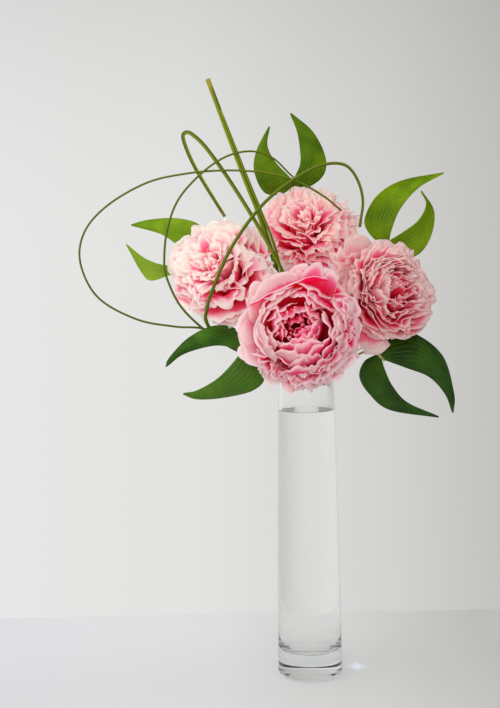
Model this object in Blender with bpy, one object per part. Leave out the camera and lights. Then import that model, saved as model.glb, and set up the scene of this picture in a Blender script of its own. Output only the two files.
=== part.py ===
"""A flower arrangement in its own vase: four double peonies, five split hosta leaves and six looped
blades of grass stand in the mouth of a tall, slightly tapered glass vase that is filled with water.

Blender units are metres, +Z is up, and the origin is the centre of the vase's base. The numbers below
are millimetres, which is how the arrangement was measured out; MM turns them into metres. The vase is
turned from a profile. Every flower head is laid out flat, as a turned or gridded layer, and then wrapped
round an egg-shaped form, so that its layers lie inside each other with an even gap.
"""

from collections import namedtuple
from math import atan2, cos, pi, radians, sin, sqrt

import bmesh
import bpy
from mathutils import Vector

MM = 0.001
GAP = 0.35  # clearance between pieces that touch on the real arrangement

# The vase: a clear tumbler of blown glass with a heavy base.
VASE_HEIGHT = 306.0
VASE_BASE_RADIUS = 32.6
VASE_NECK_LOSS = 4.7  # how much the outer radius shrinks from the base to the rim
VASE_TAPER_POWER = 1.3
VASE_WALL = 3.0
VASE_FLOOR = 25.0  # thickness of the solid glass base
VASE_FOOT_ROUND = 1.4
VASE_SEGMENTS = 40
WALL_HEIGHTS = (60.0, 110.0, 160.0, 210.0, 255.0)  # where the profile follows the taper
FLOOR_CORNER = 4.0
WATER_LEVEL = 270.0

STEM_CUT = 294.0  # height of the cut ends, which hang in the neck above the water
PEONY_STEM = 3.2
STEM_STRAIGHT = 4.0  # length of stem that stands square to the calyx
STEM_BEND = 9.0  # radius of the stem's bend under the head
PETIOLE = 1.5

# A peony head is an egg form. Its depths behind and before its widest circle are parts of its radius.
HEAD_BACK = 0.60
HEAD_FRONT = 0.72
PETAL_THICK = 1.1
LEAF_THICK = 0.9

# neck is the compass angle, in degrees from +X towards +Y, at which a stem stands against the neck's inner
# wall. The points after it carry the stem on from the vase's lip.
Peony = namedtuple("Peony", "name centre radius facing turn neck stem reach")
PEONIES = (
    Peony("front", (-9, -72, 356), 59, (-0.05, -0.98, 0.14), 12, 256,
          ((-5.0, -19.4, 320), (-5.6, -17.5, 330)), (104, 96, 100, 90, 98, 94)),
    Peony("left", (-83, -5, 411), 53, (-0.32, -0.88, 0.34), 40, 165,
          ((-28, 12, 318), (-50, 31, 360)), (96, 92, 100, 94, 90, 98)),
    Peony("top", (5, 45, 452), 48, (0.06, -0.78, 0.62), 5, 88,
          ((1.4, 30, 326), (2.6, 62, 378)), (92, 96, 90, 98, 94, 90)),
    Peony("right", (82, 0, 388), 50, (0.34, -0.88, 0.26), 20, 22,
          ((28, 13, 317), (50, 32, 346)), (98, 92, 104, 94, 90, 96)),
)

# A hosta leaf is split down its midrib into two horns. Each horn lies between an outer edge, which was
# the leaf's margin, and an inner edge, where it was torn from the midrib. Both run from base to tip.
Horn = namedtuple("Horn", "outer inner crown")
Leaf = namedtuple("Leaf", "name neck petiole horns")
LEAVES = (
    Leaf("lower_right", 350, ((33, -4, 316), (48, 2, 322), (64, 8, 327), (75, 8, 323), (80, 7, 317)),
         (Horn(((74, 9, 327), (84, 14, 338), (108, 14, 345), (138, 6, 322), (147, -8, 285),
                (145.5, -14, 266)),
               ((77, 7, 319), (101, 3, 310), (123, -4, 301), (138, -9, 284), (144, -14, 266)), 4.0),
          Horn(((72, 9, 324), (60, 14, 316), (55, 14, 301), (64, 8, 284), (84, 1, 268), (131, -12, 261)),
               ((77, 7, 319), (80, 4, 308), (87, 0, 292), (101, -5, 276), (131, -12, 262.6)), 4.0))),
    Leaf("upper_right", 55, ((22, 30, 322), (42, 48, 356), (66, 58, 394), (82, 48, 424), (87, 38, 438)),
         (Horn(((85, 42, 432), (70, 43, 446), (65, 43, 462), (78, 44, 485), (103, 43, 500),
                (146, 38, 507.4)),
               ((89, 39, 434), (92, 35, 450), (101, 34, 471), (120, 35, 492), (146, 38, 506)), -4.0),
          Horn(((87, 43, 430), (100, 42, 420), (120, 41, 424), (133, 41, 442), (136, 38, 468),
                (123, 34, 489)),
               ((85, 40, 436), (103, 33, 447), (119, 32, 459), (127, 33, 475), (121.6, 34, 488)), -4.0))),
    Leaf("top", 114, ((-16, 40, 330), (-23, 68, 384), (-25, 88, 440), (-18, 88, 476), (-8, 74, 497),
                      (-3, 62, 506)),
         (Horn(((-6, 67, 499), (-20, 65, 490), (-38, 61, 492), (-48, 57, 514), (-45, 55, 535),
                (-32, 50, 559)),
               ((-5, 65, 502), (-14, 58, 510), (-27, 54, 524), (-34, 52, 540), (-31, 50, 557.6)), 4.0),
          Horn(((-8, 68, 499), (8, 68, 497), (24, 65, 508), (27, 62, 526), (14, 59, 553), (-9, 56, 573)),
               ((-8, 65, 503), (0, 60, 520), (0, 58, 536), (-3, 56, 554), (-9.8, 56, 571.4)), 4.0))),
    Leaf("left", 140, ((-28, 27, 324), (-54, 50, 368), (-82, 60, 408), (-96, 52, 425), (-103, 45, 428)),
         (Horn(((-95, 52, 427), (-97, 50, 446), (-108, 48, 460), (-131, 46, 466), (-158, 41, 464.5),
                (-176, 38, 460)),
               ((-96, 50, 424), (-113, 42, 431), (-129, 38, 439), (-146, 38, 450),
                (-175, 38, 458.6)), 4.0),
          Horn(((-95, 52, 423), (-110, 45, 410), (-134, 42, 408), (-156, 40, 402), (-166, 38, 410),
                (-181, 34, 439)),
               ((-95, 50, 429), (-110, 42, 421), (-136, 37, 417), (-160, 35, 424),
                (-181, 34, 440.6)), -4.0))),
    Leaf("lower_left", 218, ((-28, -21, 316), (-42, -25, 326), (-56, -27, 333), (-67, -27, 333)),
         (Horn(((-59, -27, 337), (-70, -19, 354), (-92, -22, 357), (-116, -28, 346), (-134, -36, 328),
                (-138, -40, 319)),
               ((-59, -27, 330), (-74, -27, 336), (-92, -28, 338), (-120, -34, 331),
                (-136.4, -40, 319.4)), 4.0),
          Horn(((-57, -27, 330), (-42, -18, 306), (-54, -16, 292), (-82, -20, 286), (-108, -30, 286),
                (-122, -34, 291.4)),
               ((-62, -27, 336), (-72, -27, 322), (-88, -28, 306), (-108, -32, 295),
                (-121.4, -34, 292.8)), 4.0))),
)

# A blade of grass is a thin flat strap. Three blades rise together from the middle of the neck, so they
# have no neck angle and their routes start at their cut ends.
Blade = namedtuple("Blade", "name neck route half_width")
BLADE_THICK = 1.2
BLADES = (
    Blade("upright_wide", None,
          ((-10.6, 1, STEM_CUT), (-11, 1, 318), (-19, -1, 362), (-29, -5, 414), (-44.5, -9, 466),
           (-59, -13, 504),
           (-92, -20, 596)), 1.9),
    Blade("upright_slim", None,
          ((-7.2, 0, STEM_CUT), (-7.6, 0, 318), (-15, -4.5, 366), (-28.6, -10, 430),
           (-41.6, -12.6, 466), (-56.4, -15.8, 504),
           (-79.8, -20.2, 566)), 1.2),
    Blade("folded", None,
          ((-4.4, -1, STEM_CUT), (-4.8, -2, 318), (-9, -16, 370), (-21, -26, 405), (-41, -25, 445),
           (-70, -23, 494),
           (-94, -21, 529), (-107, -18, 542.6), (-114, -15, 546), (-117.4, -12, 541), (-111, -6, 522),
           (-101, 3, 502.5), (-90, 12, 484), (-79, 25, 466)), 1.2),
    Blade("big_loop", 188,
          ((-30, -4.6, 314), (-60, -6, 332), (-98, -12, 353), (-129, -20, 357), (-166, -24, 365),
           (-203, -26, 387),
           (-219, -28, 421), (-214, -28, 451), (-191, -28, 476), (-153, -26, 497), (-116, -26, 505),
           (-79, -27, 507.5), (-42, -28.5, 505), (-11, -27, 497.5), (19, -14, 482), (37, -4, 468)), 0.9),
    Blade("side_loop", 198,
          ((-29, -9.4, 314), (-62, -10, 328), (-92, -12, 346), (-121, -28, 375), (-135, -34, 405),
           (-137, -34, 423),
           (-133.5, -34, 451), (-122, -34, 480), (-99, -32, 505), (-75, -26, 521), (-51, -14, 526.7),
           (-30, 2, 521.6), (-13, 24, 508), (-4, 40, 502)), 0.9),
    Blade("front_arch", 207,
          ((-28, -14, 314), (-60, -15, 330), (-88, -15, 346), (-98, -26, 362), (-96.5, -37, 375),
           (-92, -44, 389.5),
           (-75, -50, 427), (-52, -42, 461), (-30, -34, 483.7), (-3.5, -27, 502), (20, -18, 512.4),
           (41, -10, 512), (53.3, -5, 498), (59, 0, 477), (56, 5, 452)), 1.4),
)


def material(name, colour, roughness, transmission=0.0, ior=1.45):
    """One Principled BSDF with the piece's own colour."""
    made = bpy.data.materials.new(name)
    made.use_nodes = True
    shader = made.node_tree.nodes["Principled BSDF"]
    shader.inputs["Base Color"].default_value = (*colour, 1.0)
    shader.inputs["Roughness"].default_value = roughness
    shader.inputs["Metallic"].default_value = 0.0
    shader.inputs["Transmission Weight"].default_value = transmission
    shader.inputs["IOR"].default_value = ior
    made.diffuse_color = (*colour, 1.0)
    return made


def add(name, mesh, look):
    """Puts a mesh in the scene as the named piece, shaded smooth except across real edges."""
    piece = bpy.data.objects.new(name, mesh)
    mesh.materials.clear()
    mesh.materials.append(look)
    mesh.shade_smooth()
    mesh.set_sharp_from_angle(angle=radians(45))
    bpy.context.scene.collection.objects.link(piece)
    return piece


def mesh_from(bm, name):
    """Closes the bmesh's work: normals outwards, then a mesh of that name."""
    bmesh.ops.recalc_face_normals(bm, faces=bm.faces)
    mesh = bpy.data.meshes.new(name)
    bm.to_mesh(mesh)
    bm.free()
    return mesh


def smooth_route(points, steps):
    """Points on the Catmull-Rom curve through the route's own points, in metres. They lie closer where
    the route's points do, as at the lip of the vase."""
    knots = [Vector(point) * MM for point in points]
    knots = [2 * knots[0] - knots[1], *knots, 2 * knots[-1] - knots[-2]]
    spans = len(knots) - 3
    route = []
    for step in range(steps + 1):
        along = min(step * spans / steps, spans - 1e-9)
        first = int(along)
        t = along - first
        a, b, c, d = knots[first:first + 4]
        route.append(0.5 * (2 * b + (c - a) * t + (2 * a - 5 * b + 4 * c - d) * t * t
                            + (3 * b - a - 3 * c + d) * t * t * t))
    return route


def bent_route(points, span_steps):
    """Points on a smooth curve through unevenly spaced points, in metres. Its slope at each point is
    weighed by the lengths of the spans beside it, so that a short span doesn't make a kink."""
    knots = [Vector(point) * MM for point in points]
    knots = [2 * knots[0] - knots[1], *knots, 2 * knots[-1] - knots[-2]]
    lengths = [(b - a).length for a, b in zip(knots, knots[1:])]
    slopes = [((b - a) * (after / before) + (c - b) * (before / after)) / (before + after)
              for a, b, c, before, after in zip(knots, knots[1:], knots[2:], lengths, lengths[1:])]
    route = []
    for start, end, leave, arrive, length in zip(knots[1:], knots[2:-1], slopes, slopes[1:], lengths[1:]):
        for step in range(span_steps):
            t = step / span_steps
            route.append(start * (2 * t ** 3 - 3 * t ** 2 + 1) + leave * (length * (t ** 3 - 2 * t ** 2 + t))
                         + end * (3 * t ** 2 - 2 * t ** 3) + arrive * (length * (t ** 3 - t ** 2)))
    return [*route, knots[-2]]


def neck_knots(azimuth, radius):
    """Where a stem stands against the inside of the neck and leans out over the rounded lip."""
    lip = VASE_WALL / 2
    lip_circle = vase_radius(VASE_HEIGHT) - lip
    inside = lip_circle - lip - radius - 3 * GAP
    clear = lip + radius + 3 * GAP
    lean = radians(45)
    rise = ((inside, STEM_CUT), (inside - GAP, VASE_HEIGHT - 5),
            (lip_circle - clear * sin(lean), VASE_HEIGHT - lip + clear * cos(lean)))
    around = radians(azimuth)
    return [(reach * cos(around), reach * sin(around), height) for reach, height in rise]


def tube(name, route, radius, look, sides_level):
    """A stem: a bevelled curve with filled caps."""
    data = bpy.data.curves.new(name, "CURVE")
    data.dimensions = "3D"
    data.bevel_depth = radius * MM
    data.bevel_resolution = sides_level
    data.use_fill_caps = True
    spline = data.splines.new("POLY")
    spline.points.add(len(route) - 1)
    for point, place in zip(spline.points, route):
        point.co = (*place, 1.0)
    data.materials.append(look)
    piece = bpy.data.objects.new(name, data)
    bpy.context.scene.collection.objects.link(piece)
    return piece


# ---------------------------------------------------------------- vase and water

def vase_radius(height):
    """Outer radius of the vase: widest at the base, drawn in towards the rim."""
    return VASE_BASE_RADIUS - VASE_NECK_LOSS * (height / VASE_HEIGHT) ** VASE_TAPER_POWER


def turned(name, profile, look):
    """Turns an open profile, whose ends lie on the axis, once round Z."""
    bm = bmesh.new()
    verts = [bm.verts.new((radius * MM, 0.0, height * MM)) for radius, height in profile]
    edges = [bm.edges.new(pair) for pair in zip(verts, verts[1:])]
    bmesh.ops.spin(bm, geom=verts + edges, cent=(0, 0, 0), axis=(0, 0, 1), angle=2 * pi,
                   steps=VASE_SEGMENTS, use_merge=True)
    bmesh.ops.remove_doubles(bm, verts=bm.verts, dist=1e-6)
    return add(name, mesh_from(bm, name), look)


def build_vase(look):
    """The glass: a heavy solid base, a drawn-in wall and a rounded lip."""
    lip = VASE_WALL / 2
    foot = VASE_FOOT_ROUND
    outside = [(0.0, 0.0), (VASE_BASE_RADIUS - foot, 0.0), (VASE_BASE_RADIUS - 0.3 * foot, 0.3 * foot),
               (VASE_BASE_RADIUS, foot)]
    outside += [(vase_radius(height), height) for height in WALL_HEIGHTS]
    rim = vase_radius(VASE_HEIGHT) - lip
    over = [(rim + lip * sin(turn), VASE_HEIGHT - lip + lip * cos(turn))
            for turn in (radians(angle) for angle in (90, 45, 0, -45, -90))]
    inside = [(vase_radius(height) - VASE_WALL, height) for height in reversed(WALL_HEIGHTS)]
    inner = vase_radius(VASE_FLOOR) - VASE_WALL
    inside += [(inner, VASE_FLOOR + FLOOR_CORNER), (inner - FLOOR_CORNER, VASE_FLOOR), (0.0, VASE_FLOOR)]
    return turned("vase_glass", outside + over + inside, look)


def build_water(look):
    """The water: it fills the inside of the vase, up to a flat surface."""
    inner = vase_radius(VASE_FLOOR) - VASE_WALL
    profile = [(0.0, VASE_FLOOR + GAP), (inner - FLOOR_CORNER - GAP, VASE_FLOOR + GAP),
               (inner - GAP, VASE_FLOOR + FLOOR_CORNER)]
    profile += [(vase_radius(height) - VASE_WALL - GAP, height) for height in WALL_HEIGHTS]
    profile += [(vase_radius(WATER_LEVEL) - VASE_WALL - GAP, WATER_LEVEL), (0.0, WATER_LEVEL)]
    return turned("water", profile, look)


# ---------------------------------------------------------------- peonies

def wrap(peony, angle, around, inward):
    """A point of the egg form, in metres: angle from the back pole and round the axis in degrees, and how
    far inside the form's skin it lies in millimetres."""
    side = peony.radius - inward
    depth = (HEAD_BACK if angle <= 90 else HEAD_FRONT) * peony.radius - inward
    tilt, turn = radians(angle), radians(around)
    return Vector((side * sin(tilt) * cos(turn), side * sin(tilt) * sin(turn), -depth * cos(tilt))) * MM


def head_matrix(peony):
    """Places a head: its front pole looks along facing, and it is turned about that axis."""
    facing = Vector(peony.facing).normalized()
    pose = facing.to_track_quat("Z", "Y").to_matrix().to_4x4()
    pose.translation = Vector(peony.centre) * MM
    return pose


def wrapped_turn(peony, name, profile, segments, look, ruffle):
    """Turns a profile of (angle, inward) pairs flat, then wraps it on the egg form. ruffle(angle, around,
    inward) returns the angle and depth of the finished skin there."""
    bm = bmesh.new()
    verts = [bm.verts.new((angle, 0.0, inward)) for angle, inward in profile]
    edges = [bm.edges.new(pair) for pair in zip(verts, verts[1:])]
    bmesh.ops.spin(bm, geom=verts + edges, cent=(0, 0, 0), axis=(0, 0, 1), angle=2 * pi,
                   steps=segments, use_merge=True)
    bmesh.ops.remove_doubles(bm, verts=bm.verts, dist=1e-4)
    for vert in bm.verts:
        angle = sqrt(vert.co.x ** 2 + vert.co.y ** 2)
        around = atan2(vert.co.y, vert.co.x) * 180 / pi
        angle, inward = ruffle(angle, around, vert.co.z)
        vert.co = wrap(peony, angle, around + peony.turn, inward)
    bmesh.ops.remove_doubles(bm, verts=bm.verts, dist=1e-6)
    piece = add(name, mesh_from(bm, name), look)
    piece.matrix_world = head_matrix(peony)
    return piece


GUARDS = 6
HEAD_SEGMENTS = 20
FACET_DIP = 1.5  # how far the flat faces of a wrapped layer may dip below its curve
GUARD_LAYER = PETAL_THICK + FACET_DIP  # from one layer of guard petals to the next
BOWL_SKIN = GUARD_LAYER + PETAL_THICK / 2 + FACET_DIP
BOSS_ANGLE = 11.0  # the receptacle's boss fills the middle of the guard petals up to this angle
SEPAL_CLEAR = 1.0
CALYX_DEPTH = 8.5
HEART_SHARE = 0.48  # how deep in the head the bowl's hollow lies, as a part of the radius


def build_guard(peony, index, look):
    """One broad outer petal: a grid wrapped on the egg form, narrow at its claw and round at its tip."""
    name = f"peony_{peony.name}_guard_petal_{index + 1}"
    outer_layer = index % 2
    half_spread = 37.0
    claw = BOSS_ANGLE + 3.0
    flare = 5.0 if outer_layer else 1.0
    bm = bmesh.new()
    bmesh.ops.create_grid(bm, x_segments=4, y_segments=4, size=1.0)
    for vert in bm.verts:
        across, along = vert.co.x, (vert.co.y + 1) / 2
        widen = 0.40 + 0.60 * sin(min(along / 0.65, 1.0) * pi / 2)
        narrow = 1 - 0.35 * max(0.0, (along - 0.65) / 0.35) ** 2
        rounding = 7.0 * across * across * along
        angle = claw + (peony.reach[index] - claw) * along - rounding
        around = index * 360 / GUARDS + half_spread * across * widen * narrow
        inward = (0.0 if outer_layer else GUARD_LAYER) - flare * max(0.0, along - 0.55) ** 2 * 4
        vert.co = wrap(peony, angle, around + peony.turn, inward)
    piece = add(name, mesh_from(bm, name), look)
    thicken = piece.modifiers.new("thickness", "SOLIDIFY")
    thicken.thickness = PETAL_THICK * MM
    thicken.offset = 0.0
    piece.matrix_world = head_matrix(peony)
    return piece


def build_bowl(peony, look):
    """The many inner petals as one ruffled cup, open at the front."""
    hollow = HEART_SHARE * peony.radius
    profile = [(0, BOWL_SKIN), (BOSS_ANGLE, BOWL_SKIN), (34, BOWL_SKIN), (56, BOWL_SKIN), (78, BOWL_SKIN),
               (100, BOWL_SKIN), (120, BOWL_SKIN + 1), (134, BOWL_SKIN + 6), (126, hollow * 0.7),
               (90, hollow), (60, hollow), (30, hollow), (0, hollow)]

    def ruffle(angle, around, inward):
        free = min(max((angle - 90) / 30, 0.0), 1.0) * (1.0 if inward < hollow * 0.9 else 0.0)
        return angle, inward + free * (1.6 + 1.6 * cos(radians(around * 6)))

    return wrapped_turn(peony, f"peony_{peony.name}_petal_bowl", profile, HEAD_SEGMENTS, look, ruffle)


def build_heart(peony, look):
    """The innermost petals, crumpled together in the bowl's hollow."""
    hollow = HEART_SHARE * peony.radius
    skin = hollow + GAP
    dome = hollow - 0.20 * peony.radius
    profile = [(0, skin), (30, skin), (60, skin), (90, skin), (118, skin - 2), (150, dome), (180, dome)]

    def ruffle(angle, around, inward):
        free = min(max((angle - 100) / 30, 0.0), 1.0) * (1.0 if angle < 179 else 0.0)
        return angle, inward + free * (2.0 + 2.0 * cos(radians(around * 4)))

    return wrapped_turn(peony, f"peony_{peony.name}_heart", profile, HEAD_SEGMENTS, look, ruffle)


def build_calyx(peony, look):
    """The green receptacle: a boss that carries the petals, and five sepals pressed against them."""
    skin = -(PETAL_THICK / 2 + SEPAL_CLEAR)
    sepal_tip = 34.0
    boss_top = BOWL_SKIN - GAP
    profile = [(0, boss_top), (BOSS_ANGLE, boss_top), (BOSS_ANGLE, skin), (22, skin), (sepal_tip, skin),
               (sepal_tip - 1, skin - 1.2), (22, skin - 1.6), (8, skin - 0.5 * CALYX_DEPTH),
               (6, skin - CALYX_DEPTH), (0, skin - CALYX_DEPTH)]

    def sepals(angle, around, inward):
        if angle <= BOSS_ANGLE + 0.01:
            return angle, inward
        lobe = 0.42 + 0.58 * abs(cos(radians(around * 2.5)))
        return BOSS_ANGLE + (angle - BOSS_ANGLE) * lobe, inward

    return wrapped_turn(peony, f"peony_{peony.name}_calyx", profile, HEAD_SEGMENTS, look, sepals)


def build_stem(peony, look):
    """The cut stem, from the vase's neck, bent over below the head so that it meets the calyx square on."""
    back = -Vector(peony.facing).normalized()
    underside = HEAD_BACK * peony.radius + PETAL_THICK / 2 + SEPAL_CLEAR + CALYX_DEPTH
    seat = Vector(peony.centre) + back * (underside + 2 * GAP)
    level = seat + back * STEM_STRAIGHT
    down = Vector(peony.stem[-1]) - seat
    down = (down - back * down.dot(back)).normalized()
    middle = level + down * STEM_BEND
    bend = [middle + (back * sin(turn) - down * cos(turn)) * STEM_BEND for turn in (pi / 2, pi / 4)]
    route = [*neck_knots(peony.neck, PEONY_STEM), *peony.stem, *bend, level, seat]
    return tube(f"peony_{peony.name}_stem", bent_route(route, 4), PEONY_STEM, look, 2)


# ---------------------------------------------------------------- leaves

def horn_mesh(name, horn):
    """One half of a split leaf: a grid drawn between its two edges and arched across."""
    along_steps, across_steps = 8, 3
    outer = smooth_route(horn.outer, along_steps)
    inner = smooth_route(horn.inner, along_steps)
    bm = bmesh.new()
    bmesh.ops.create_grid(bm, x_segments=across_steps, y_segments=along_steps, size=1.0)
    for vert in bm.verts:
        share = (vert.co.x + 1) / 2
        step = round((vert.co.y + 1) / 2 * along_steps)
        rise = horn.crown * sin(pi * share) * sin(pi * min(step / along_steps, 1.0)) * MM
        vert.co = outer[step].lerp(inner[step], share) - Vector((0, rise, 0))
    return mesh_from(bm, name)


def build_leaf(leaf, look):
    """Petiole and two horns, grown as one piece: the horns are hidden tools that the petiole is joined to."""
    name = f"leaf_{leaf.name}"
    route = [*neck_knots(leaf.neck, PETIOLE), *leaf.petiole]
    stalk = tube(f"{name}_petiole_curve", smooth_route(route, 2 * len(route) - 2), PETIOLE, look, 0)
    mesh = bpy.data.meshes.new_from_object(stalk)
    bpy.data.objects.remove(stalk)
    mesh.name = name
    bm = bmesh.new()
    bm.from_mesh(mesh)
    bmesh.ops.remove_doubles(bm, verts=bm.verts, dist=1e-6)
    bmesh.ops.recalc_face_normals(bm, faces=bm.faces)
    bm.to_mesh(mesh)
    bm.free()
    piece = add(name, mesh, look)
    for number, horn in enumerate(leaf.horns, start=1):
        half = add(f"{name}_horn_{number}", horn_mesh(f"{name}_horn_{number}", horn), look)
        thicken = half.modifiers.new("thickness", "SOLIDIFY")
        thicken.thickness = LEAF_THICK * MM
        thicken.offset = 0.0
        half.hide_render = True
        half.display_type = "WIRE"
        union = piece.modifiers.new(f"horn_{number}", "BOOLEAN")
        union.operation = "UNION"
        union.solver = "EXACT"
        union.object = half
    return piece


# ---------------------------------------------------------------- grass

def build_blade(blade, look):
    """A strap that follows its route with its flat side to the front, and narrows a little at its tip."""
    knots = [*neck_knots(blade.neck, blade.half_width), *blade.route] if blade.neck else blade.route
    steps = 3 * (len(knots) - 1)
    route = smooth_route(knots, steps)
    bm = bmesh.new()
    bmesh.ops.create_grid(bm, x_segments=1, y_segments=steps, size=1.0)
    for vert in bm.verts:
        share = (vert.co.y + 1) / 2
        step = round(share * steps)
        before, after = route[max(step - 1, 0)], route[min(step + 1, steps)]
        sideways = (after - before).cross(Vector((0, 1, 0))).normalized()
        half_width = blade.half_width * (1 - 0.45 * share ** 6)
        vert.co = route[step] + sideways * vert.co.x * half_width * MM
    name = f"grass_{blade.name}"
    piece = add(name, mesh_from(bm, name), look)
    thicken = piece.modifiers.new("thickness", "SOLIDIFY")
    thicken.thickness = BLADE_THICK * MM
    thicken.offset = 0.0
    return piece


def main():
    for leftover in list(bpy.data.objects):
        bpy.data.objects.remove(leftover, do_unlink=True)

    glass = material("clear_glass", (0.93, 0.96, 0.95), 0.03, transmission=1.0, ior=1.5)
    water = material("clear_water", (0.95, 0.97, 0.96), 0.01, transmission=1.0, ior=1.33)
    stalk = material("stem_green", (0.22, 0.34, 0.08), 0.55)
    sepal = material("calyx_green", (0.30, 0.42, 0.14), 0.60)
    outer_petal = material("guard_petal_pale_pink", (0.90, 0.66, 0.69), 0.70)
    inner_petal = material("inner_petal_pink", (0.88, 0.45, 0.55), 0.70)
    heart_petal = material("heart_petal_rose", (0.76, 0.25, 0.38), 0.70)
    young_leaf = material("leaf_light_green", (0.24, 0.42, 0.06), 0.40)
    old_leaf = material("leaf_dark_green", (0.05, 0.17, 0.05), 0.35)
    blade_look = material("grass_green", (0.16, 0.25, 0.04), 0.45)

    build_vase(glass)
    build_water(water)
    for peony in PEONIES:
        build_stem(peony, stalk)
        build_calyx(peony, sepal)
        for index in range(GUARDS):
            build_guard(peony, index, outer_petal)
        build_bowl(peony, inner_petal)
        build_heart(peony, heart_petal)
    for leaf in LEAVES:
        build_leaf(leaf, old_leaf if leaf.name.startswith("lower") else young_leaf)
    for blade in BLADES:
        build_blade(blade, blade_look)


main()
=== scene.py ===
# %% [markdown]
# # An ikebana of four peonies, hosta leaves and grass in a tall glass vase
# This notebook dresses a finished CAD model. The model is loaded first, as a frame of plain solids that
# says where everything is. Then each part gets its own shape and finish: glass, water, stems, sepals,
# several hundred thin petals, five split leaves and six blades of grass.

# %% Load the frame
import random
from collections import namedtuple
from math import atan2, cos, pi, radians, sin, sqrt

import bmesh
import bpy
from mathutils import Matrix, Vector, noise


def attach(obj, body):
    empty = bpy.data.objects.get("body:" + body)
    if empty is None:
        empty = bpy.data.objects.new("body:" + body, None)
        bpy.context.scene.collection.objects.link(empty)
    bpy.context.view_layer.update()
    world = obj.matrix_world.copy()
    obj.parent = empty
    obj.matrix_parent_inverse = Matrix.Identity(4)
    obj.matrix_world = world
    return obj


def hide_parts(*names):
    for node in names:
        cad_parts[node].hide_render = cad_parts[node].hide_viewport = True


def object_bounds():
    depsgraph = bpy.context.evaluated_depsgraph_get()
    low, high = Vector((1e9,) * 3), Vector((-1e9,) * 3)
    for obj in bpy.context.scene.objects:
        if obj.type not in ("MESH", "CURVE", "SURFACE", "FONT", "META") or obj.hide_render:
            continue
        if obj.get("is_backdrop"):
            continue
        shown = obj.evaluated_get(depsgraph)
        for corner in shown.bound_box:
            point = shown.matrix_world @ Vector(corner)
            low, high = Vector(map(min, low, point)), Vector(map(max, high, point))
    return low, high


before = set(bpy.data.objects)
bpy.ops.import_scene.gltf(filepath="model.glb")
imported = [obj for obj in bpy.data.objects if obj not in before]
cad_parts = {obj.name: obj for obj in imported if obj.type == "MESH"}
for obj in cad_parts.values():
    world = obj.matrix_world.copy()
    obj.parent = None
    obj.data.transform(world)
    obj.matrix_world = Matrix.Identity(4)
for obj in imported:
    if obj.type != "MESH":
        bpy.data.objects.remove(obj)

MM = 0.001
cad_box = [list(corner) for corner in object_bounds()]
print("CAD nodes:", len(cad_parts), "box:", cad_box)

# %% [markdown]
# ## The camera
# The arrangement is seen from in front, at the height of its flowers, with a longish lens, so that the
# vase's sides stay nearly parallel. The camera looks down by a few degrees and leans by one degree. Its
# axes are worked out from those two angles and written straight into its matrix.

# %% Camera
CAMERA_PLACE = Vector((-0.05587, -1.100, 0.41178))
LOOK_DOWN = radians(4.4)
LEAN = -0.018355  # radians
LENS_MM = 55.93

ahead = Vector((0, cos(LOOK_DOWN), -sin(LOOK_DOWN)))
level_right = Vector((1, 0, 0))
level_up = level_right.cross(ahead)
camera_right = level_right * cos(LEAN) + level_up * sin(LEAN)
camera_up = -level_right * sin(LEAN) + level_up * cos(LEAN)
camera_axes = Matrix((camera_right, camera_up, -ahead)).transposed().to_4x4()

camera = bpy.data.objects.new("camera", bpy.data.cameras.new("camera"))
camera.data.lens = LENS_MM
camera.matrix_world = Matrix.Translation(CAMERA_PLACE) @ camera_axes
bpy.context.scene.collection.objects.link(camera)
bpy.context.scene.camera = camera
print("camera at", tuple(round(part, 3) for part in CAMERA_PLACE), "lens", camera.data.lens, "mm")

# %% [markdown]
# ## Shader maths as Python
# Patterns on petals and leaves are sums and products of simple fields. Adding a Math node for each by hand
# buries the idea, so a small class wraps a socket: an expression such as `1 - rim * 0.5` then adds the
# nodes itself. Every other kind of node comes from its one method, `add`.

# %% The wire class
class Wire:
    """An output socket in a node tree. Arithmetic on it adds Math nodes; add() adds any other node."""

    def __init__(self, tree, socket=None):
        self.tree = tree
        self.socket = socket

    def add(self, kind, settings=None, inputs=None, output=0):
        """A new node: its settings are set first, then its sockets get numbers, colours or wires."""
        node = self.tree.nodes.new("ShaderNode" + kind)
        for name, value in (settings or {}).items():
            if name == "stops":
                ramp = node.color_ramp
                while len(ramp.elements) < len(value):
                    ramp.elements.new(1.0)
                for element, (position, colour) in zip(ramp.elements, value):
                    element.position = position
                    element.color = colour
            else:
                setattr(node, name, value)
        for name, value in (inputs or {}).items():
            if isinstance(value, Wire):
                self.tree.links.new(value.socket, node.inputs[name])
            else:
                node.inputs[name].default_value = value
        return Wire(self.tree, node.outputs[output] if len(node.outputs) else None)

    def maths(self, operation, *values):
        return self.add("Math", {"operation": operation}, dict(enumerate(values)))

    def __add__(self, other):
        return self.maths("ADD", self, other)

    def __sub__(self, other):
        return self.maths("SUBTRACT", self, other)

    def __rsub__(self, other):
        return self.maths("SUBTRACT", other, self)

    def __mul__(self, other):
        return self.maths("MULTIPLY", self, other)

    def __truediv__(self, other):
        return self.maths("DIVIDE", self, other)

    def __pow__(self, other):
        return self.maths("POWER", self, other)

    def __abs__(self):
        return self.maths("ABSOLUTE", self)

    __radd__ = __add__
    __rmul__ = __mul__


# %% Small helpers for materials
def display(red, green, blue):
    """A colour as a screen shows it, 0 to 255, turned into the linear numbers that shaders use."""
    def linear(part):
        share = part / 255
        return share / 12.92 if share <= 0.04045 else ((share + 0.055) / 1.055) ** 2.4
    return linear(red), linear(green), linear(blue), 1.0


def start(name):
    """A new material with an empty node tree, and the wire that its nodes are added from."""
    material = bpy.data.materials.new(name)
    material.use_nodes = True
    material.node_tree.nodes.clear()
    return material, Wire(material.node_tree)


def blend(factor, first, second):
    """Mixes two colours."""
    return factor.add("Mix", {"data_type": "RGBA"}, {0: factor, 6: first, 7: second}, output=2)


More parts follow.
